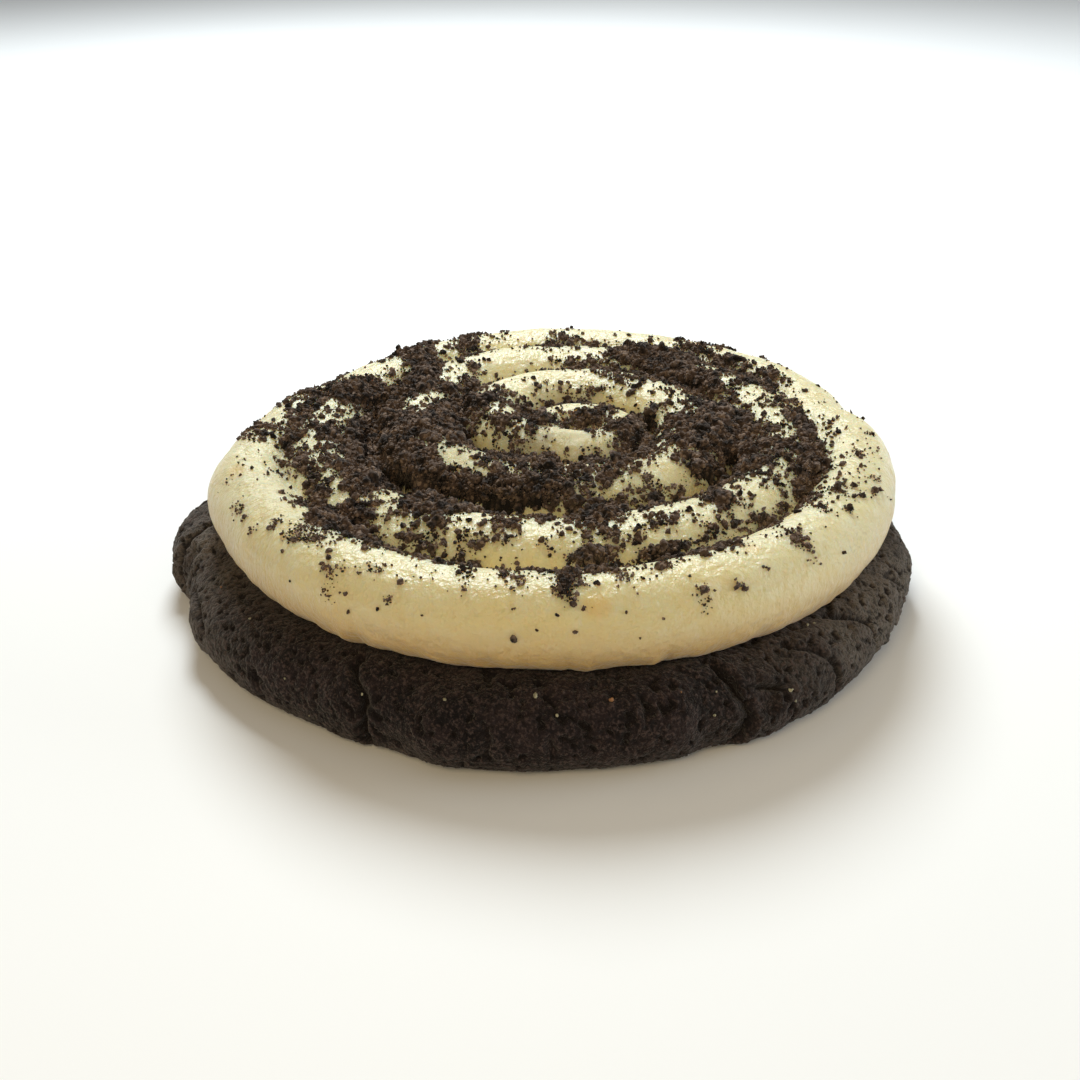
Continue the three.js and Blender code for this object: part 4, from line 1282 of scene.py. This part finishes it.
class CookieLook(bpy.types.PropertyGroup):
    """Sizes and colours of the chocolate cookie."""

    radius: FloatProperty(
        name="Radius", description="Half the cookie's width", default=54 * MM, unit="LENGTH"
    )
    thickness: FloatProperty(
        name="Thickness", description="Height of the flat top under the cream",
        default=10.8 * MM, unit="LENGTH",
    )
    widest_height: FloatProperty(
        name="Widest Height", description="Height at which the rim bulges most",
        default=4.8 * MM, unit="LENGTH",
    )
    upper_round: FloatProperty(
        name="Upper Round", description="How far in the rim's rounding begins",
        default=7.5 * MM, unit="LENGTH",
    )
    pore_depth: FloatProperty(
        name="Pore Depth", description="Depth of the pores", default=0.5 * MM, unit="LENGTH"
    )
    sheen: FloatProperty(
        name="Dustiness", description="Pale bloom at grazing angles", default=0.16, min=0, max=1
    )
    crust_colour: FloatVectorProperty(
        name="Crust", description="Colour of the baked crust",
        default=(0.0212, 0.0128, 0.0126), subtype="COLOR",
    )
    # Colour of the darker dough, and of the painted shade deep in pores and cracks
    deep_colour: FloatVectorProperty(
        name="Pores", description="Colour deep in pores and cracks",
        default=(0.0062, 0.0042, 0.0042), subtype="COLOR",
    )
    dust_colour: FloatVectorProperty(
        name="High Crumbs", description="Colour of the paler high crumbs",
        default=(0.068, 0.0465, 0.0425), subtype="COLOR",
    )
    # Pale dry crust, partly its own colour and partly painted sheen on the rim's sides
    pale_dry_and_sheen_colour: FloatVectorProperty(
        name="Dry Crust", description="Colour of the dry, wrinkled crust",
        default=(0.28, 0.24, 0.188), subtype="COLOR",
    )


class CreamLook(bpy.types.PropertyGroup):
    """Shape and colours of the piped cream."""

    mesh_step: FloatProperty(
        name="Mesh Step", description="Distance between points", default=0.4 * MM, unit="LENGTH"
    )
    groove_depth: FloatProperty(
        name="Groove Depth", description="How far the grooves reach below the rope's middle",
        default=0.5 * MM, unit="LENGTH",
    )
    softening: IntProperty(
        name="Softening", description="How often the creases are rounded", default=5, min=0
    )
    unevenness: FloatProperty(
        name="Unevenness", description="Strength of the soft dents", default=1.0, min=0
    )
    bloom: FloatProperty(
        name="Bloom", description="Pale bloom at grazing angles", default=0.34, min=0, max=1
    )
    softness: FloatProperty(
        name="Softness", description="Share of light that enters", default=0.85, min=0, max=1
    )
    light_depth: FloatProperty(
        name="Light Depth", description="How far light travels inside", default=3 * MM, unit="LENGTH"
    )
    ivory_colour: FloatVectorProperty(
        name="Ivory", description="Main colour of the cream",
        default=(0.742, 0.674, 0.39), subtype="COLOR",
    )
    deep_colour: FloatVectorProperty(
        name="Warm Ivory", description="Colour of the warmer blotches",
        default=(0.735, 0.638, 0.33), subtype="COLOR",
    )
    pale_colour: FloatVectorProperty(
        name="Pale Ivory", description="Colour of the paler mottling",
        default=(0.775, 0.752, 0.53), subtype="COLOR",
    )
    # Painted shade near the cream's foot, darker and warmer than the cream
    foot_shade_colour: FloatVectorProperty(
        name="Foot", description="Colour where the cream has soaked up cookie",
        default=(0.49, 0.275, 0.075), subtype="COLOR",
    )
    butter_colour: FloatVectorProperty(
        name="Butter", description="Colour of the yellow flecks",
        default=(0.72, 0.5, 0.16), subtype="COLOR",
    )


class CrumbLook(bpy.types.PropertyGroup):
    """Amounts and colours of the crumbs."""

    bed_step: FloatProperty(
        name="Bed Step", description="Distance between points", default=0.25 * MM, unit="LENGTH"
    )
    dust: FloatProperty(name="Dust", description="Specks on each square metre", default=9e6)
    fine: FloatProperty(name="Fine Crumbs", description="Fine crumbs on each square metre", default=8e6)
    small: FloatProperty(
        name="Small Crumbs", description="Small crumbs on each square metre", default=3.95e6
    )
    medium: FloatProperty(
        name="Medium Crumbs", description="Medium crumbs on each square metre", default=1.13e6
    )
    coarse: FloatProperty(name="Clumps", description="Clumps on each square metre", default=0.3e6)
    seed: IntProperty(name="Seed", description="Draws another random strewing", default=4127)
    sheen: FloatProperty(
        name="Dustiness", description="Pale bloom at grazing angles", default=0.15, min=0, max=1
    )
    crumb_colour: FloatVectorProperty(
        name="Crumb", description="Main colour of the crumbs",
        default=(0.088, 0.057, 0.041), subtype="COLOR",
    )
    # Colour of the darkest crumbs, and of the painted shade in the packed bed's low places
    deep_colour: FloatVectorProperty(
        name="Deep", description="Colour of the darkest crumbs",
        default=(0.011, 0.0088, 0.008), subtype="COLOR",
    )
    # Colour of the paler grains, which on the packed bed is painted light on the high grains
    pale_colour: FloatVectorProperty(
        name="Broken Edge", description="Colour of freshly broken edges",
        default=(0.31, 0.22, 0.16), subtype="COLOR",
    )


class StageLook(bpy.types.PropertyGroup):
    """Floor, lights and camera."""

    floor_colour: FloatVectorProperty(
        name="Floor", description="Colour of the table", default=(0.9, 0.9, 0.89), subtype="COLOR"
    )
    window_light: FloatProperty(
        name="Window", description="Power of the large light behind", default=4.9, unit="POWER"
    )
    room_light: FloatProperty(
        name="Room", description="Strength of the light from all round", default=0.21
    )
    front_light: FloatProperty(
        name="Front", description="Power of the weak warm light in front", default=1.45, unit="POWER"
    )
    camera_distance: FloatProperty(
        name="Distance", description="Camera to the cookie's middle", default=210 * MM, unit="LENGTH"
    )
    camera_height_angle: FloatProperty(
        name="Height Angle", description="How high the camera stands",
        default=29.17 * DEGREE, subtype="ANGLE",
    )
    camera_pitch: FloatProperty(
        name="Pitch", description="How far down the camera looks",
        default=28.13 * DEGREE, subtype="ANGLE",
    )
    camera_yaw: FloatProperty(
        name="Yaw", description="Turn to the right", default=-0.17 * DEGREE, subtype="ANGLE"
    )
    camera_roll: FloatProperty(
        name="Roll", description="Tilt of the camera", default=-0.51 * DEGREE, subtype="ANGLE"
    )
    lens: FloatProperty(
        name="Lens", description="Focal length on a 36 mm wide sensor in mm", default=45.75
    )


class COOKIE_OT_bake_cookie(bpy.types.Operator):
    """Build the cookie and the pale specks in its rim"""

    bl_idname = "cookie.bake_cookie"
    bl_label = "Bake Cookie"

    def execute(self, context):
        look = context.scene.cookie_look
        settle(build_cookie(look), "cookie", "cookie_base")
        for name, places in (("pale_specks", PALE_SPECKS), ("brown_specks", BROWN_SPECKS)):
            rows = []
            for index, (direction, down, size) in enumerate(places):
                place, out = rim_place(direction, down * MM, look)
                rows.append((place, out, SPECK_SCALE * size, SPECK_SEED + index))
            material = speck_material(name, SPECK_TINTS[name])
            settle(joined_lumps(name, rows, material), "cookie")
        return {"FINISHED"}


class COOKIE_OT_pipe_cream(bpy.types.Operator):
    """Build the piped spiral of cream"""

    bl_idname = "cookie.pipe_cream"
    bl_label = "Pipe Cream"

    def execute(self, context):
        look = context.scene.cream_look
        settle(build_cream(look, RopeField(look)), "cream", "cream_spiral")
        return {"FINISHED"}


class COOKIE_OT_strew_crumbs(bpy.types.Operator):
    """Build the bed of crumbs and strew the loose crumbs on the cream"""

    bl_idname = "cookie.strew_crumbs"
    bl_label = "Strew Crumbs"

    def execute(self, context):
        look = context.scene.crumb_look
        field = RopeField(context.scene.cream_look)
        # The clumps and the packed bed are darker copies of the loose crumbs: for the bed painted shade
        # where crumbs shade each other, for the clumps partly their own darker colour and partly painted
        # shade
        loose = crumb_material("loose_crumbs", look, 1.0)
        clumped = crumb_material("clumped_crumbs", look, 0.85)
        bed = build_crumb_bed(look, field)
        bed.data.materials.append(crumb_material("packed_crumbs", look, 0.9, packed=True))
        settle(bed, "crumbs")
        ground = crumb_ground(bpy.data.objects["cream"], field)
        for index, (kind, small, large, evenness, lift, make, detail) in enumerate(CRUMB_KINDS):
            name = "crumbs_" + kind
            makers = {"shard": shard_shape, "lump": crumb_shape}
            seeds = range(20 * index, 20 * index + CRUMB_SHAPES)
            shapes = [makers[make](f"{name}_{k}", seed, *detail) for k, seed in enumerate(seeds)]
            values = {
                "Cover Name": kind + "_cover", "Crumbs Per Area": getattr(look, kind),
                "Smallest": small * MM, "Largest": large * MM, "Evenness": evenness,
                "Lift": lift, "Seed": look.seed + index,
            }
            material = clumped if kind in ("medium", "coarse") else loose
            settle(scatter_crumbs(name, ground, material, shapes, values), "crumbs")
        bpy.data.objects.remove(ground)
        rows = []
        for index, (direction, section, size) in enumerate(SINGLE_CRUMBS):
            place = section_place(direction, section)
            crest = outer_crest(np.array([float(direction)]))[0][0]
            out = place - np.array([*crest, ROPE_MIDDLE_Z])
            rows.append((place, out / np.linalg.norm(out), SINGLE_SCALE * size, SINGLE_SEED + index))
        settle(joined_lumps("crumbs_single", rows, clumped), "crumbs")
        return {"FINISHED"}


class COOKIE_OT_set_stage(bpy.types.Operator):
    """Set the floor, the lights and the camera"""

    bl_idname = "cookie.set_stage"
    bl_label = "Set Stage"

    def execute(self, context):
        look = context.scene.stage_look
        bpy.ops.mesh.primitive_plane_add(size=FLOOR_WIDTH, location=(0, 0, FLOOR_Z))
        floor = context.object
        floor.name = "floor"
        floor.data.materials.append(floor_material(look))
        world = bpy.data.worlds.new("studio")
        world.use_nodes = True
        background = world.node_tree.nodes["Background"]
        background.inputs["Color"].default_value = (0.97, 0.985, 1.0, 1.0)
        background.inputs["Strength"].default_value = look.room_light
        context.scene.world = world
        side_light = SIDE_LIGHT_SHARE * look.window_light
        add_light("window", (-0.06, 0.45, 0.47), 0.3, look.window_light, (0.89, 0.96, 1.0))
        add_light("side", (0.56, 0.02, 0.14), 0.4, side_light, (0.87, 0.95, 1.0))
        add_light("front", (-0.12, -0.5, 0.42), 0.35, look.front_light, (1.0, 0.77, 0.43))
        context.scene.camera = add_camera(look)
        context.scene.view_settings.view_transform = "Standard"
        return {"FINISHED"}


def add_light(name, place, size, power, tint):
    light = bpy.data.lights.new(name, "AREA")
    light.shape = "DISK"
    light.size = size
    light.energy = power
    light.color = tint
    lamp = new_object(name, light)
    lamp.location = place
    lamp.rotation_euler = (Vector(LIT_PLACE) - Vector(place)).to_track_quat("-Z", "Y").to_euler()


def add_camera(look):
    camera = bpy.data.cameras.new("camera")
    camera.lens = look.lens
    camera.sensor_width = 36
    camera.clip_start = 0.01
    view = new_object("camera", camera)
    yaw, pitch, roll = look.camera_yaw, look.camera_pitch, look.camera_roll
    ahead = Vector((math.sin(yaw) * math.cos(pitch), math.cos(yaw) * math.cos(pitch), -math.sin(pitch)))
    right = ahead.cross(Vector((0, 0, 1))).normalized()
    up = right.cross(ahead)
    side = right * math.cos(roll) + up * math.sin(roll)
    top = up * math.cos(roll) - right * math.sin(roll)
    turn = Matrix((side, top, -ahead)).transposed().to_4x4()
    distance, rise = look.camera_distance, look.camera_height_angle
    place = Vector((0, -distance * math.cos(rise), distance * math.sin(rise)))
    view.matrix_world = Matrix.Translation(place) @ turn
    return view


class COOKIE_PT_panel(bpy.types.Panel):
    """Lists the steps that build the cookie, with their sizes and colours."""

    bl_label = "Frosted Cookie"
    bl_idname = "COOKIE_PT_panel"
    bl_space_type = "VIEW_3D"
    bl_region_type = "UI"
    bl_category = "Cookie"

    def draw(self, context):
        for operator, group in STEPS:
            box = self.layout.box()
            box.operator(operator)
            look = getattr(context.scene, group)
            for name in type(look).__annotations__:
                box.prop(look, name)


STEPS = (
    ("cookie.set_stage", "stage_look"),
    ("cookie.bake_cookie", "cookie_look"),
    ("cookie.pipe_cream", "cream_look"),
    ("cookie.strew_crumbs", "crumb_look"),
)
LOOKS = {
    "cookie_look": CookieLook, "cream_look": CreamLook, "crumb_look": CrumbLook,
    "stage_look": StageLook,
}
OPERATORS = (COOKIE_OT_bake_cookie, COOKIE_OT_pipe_cream, COOKIE_OT_strew_crumbs, COOKIE_OT_set_stage)


def register():
    for kind in (*LOOKS.values(), *OPERATORS, COOKIE_PT_panel):
        bpy.utils.register_class(kind)
    for name, look in LOOKS.items():
        setattr(bpy.types.Scene, name, PointerProperty(type=look))


def unregister():
    for name in LOOKS:
        delattr(bpy.types.Scene, name)
    for kind in reversed((*LOOKS.values(), *OPERATORS, COOKIE_PT_panel)):
        bpy.utils.unregister_class(kind)


def main():
    register()
    bpy.ops.cookie.set_stage()
    bpy.ops.cookie.bake_cookie()
    bpy.ops.cookie.pipe_cream()
    bpy.ops.cookie.strew_crumbs()


if __name__ == "__main__":
    main()
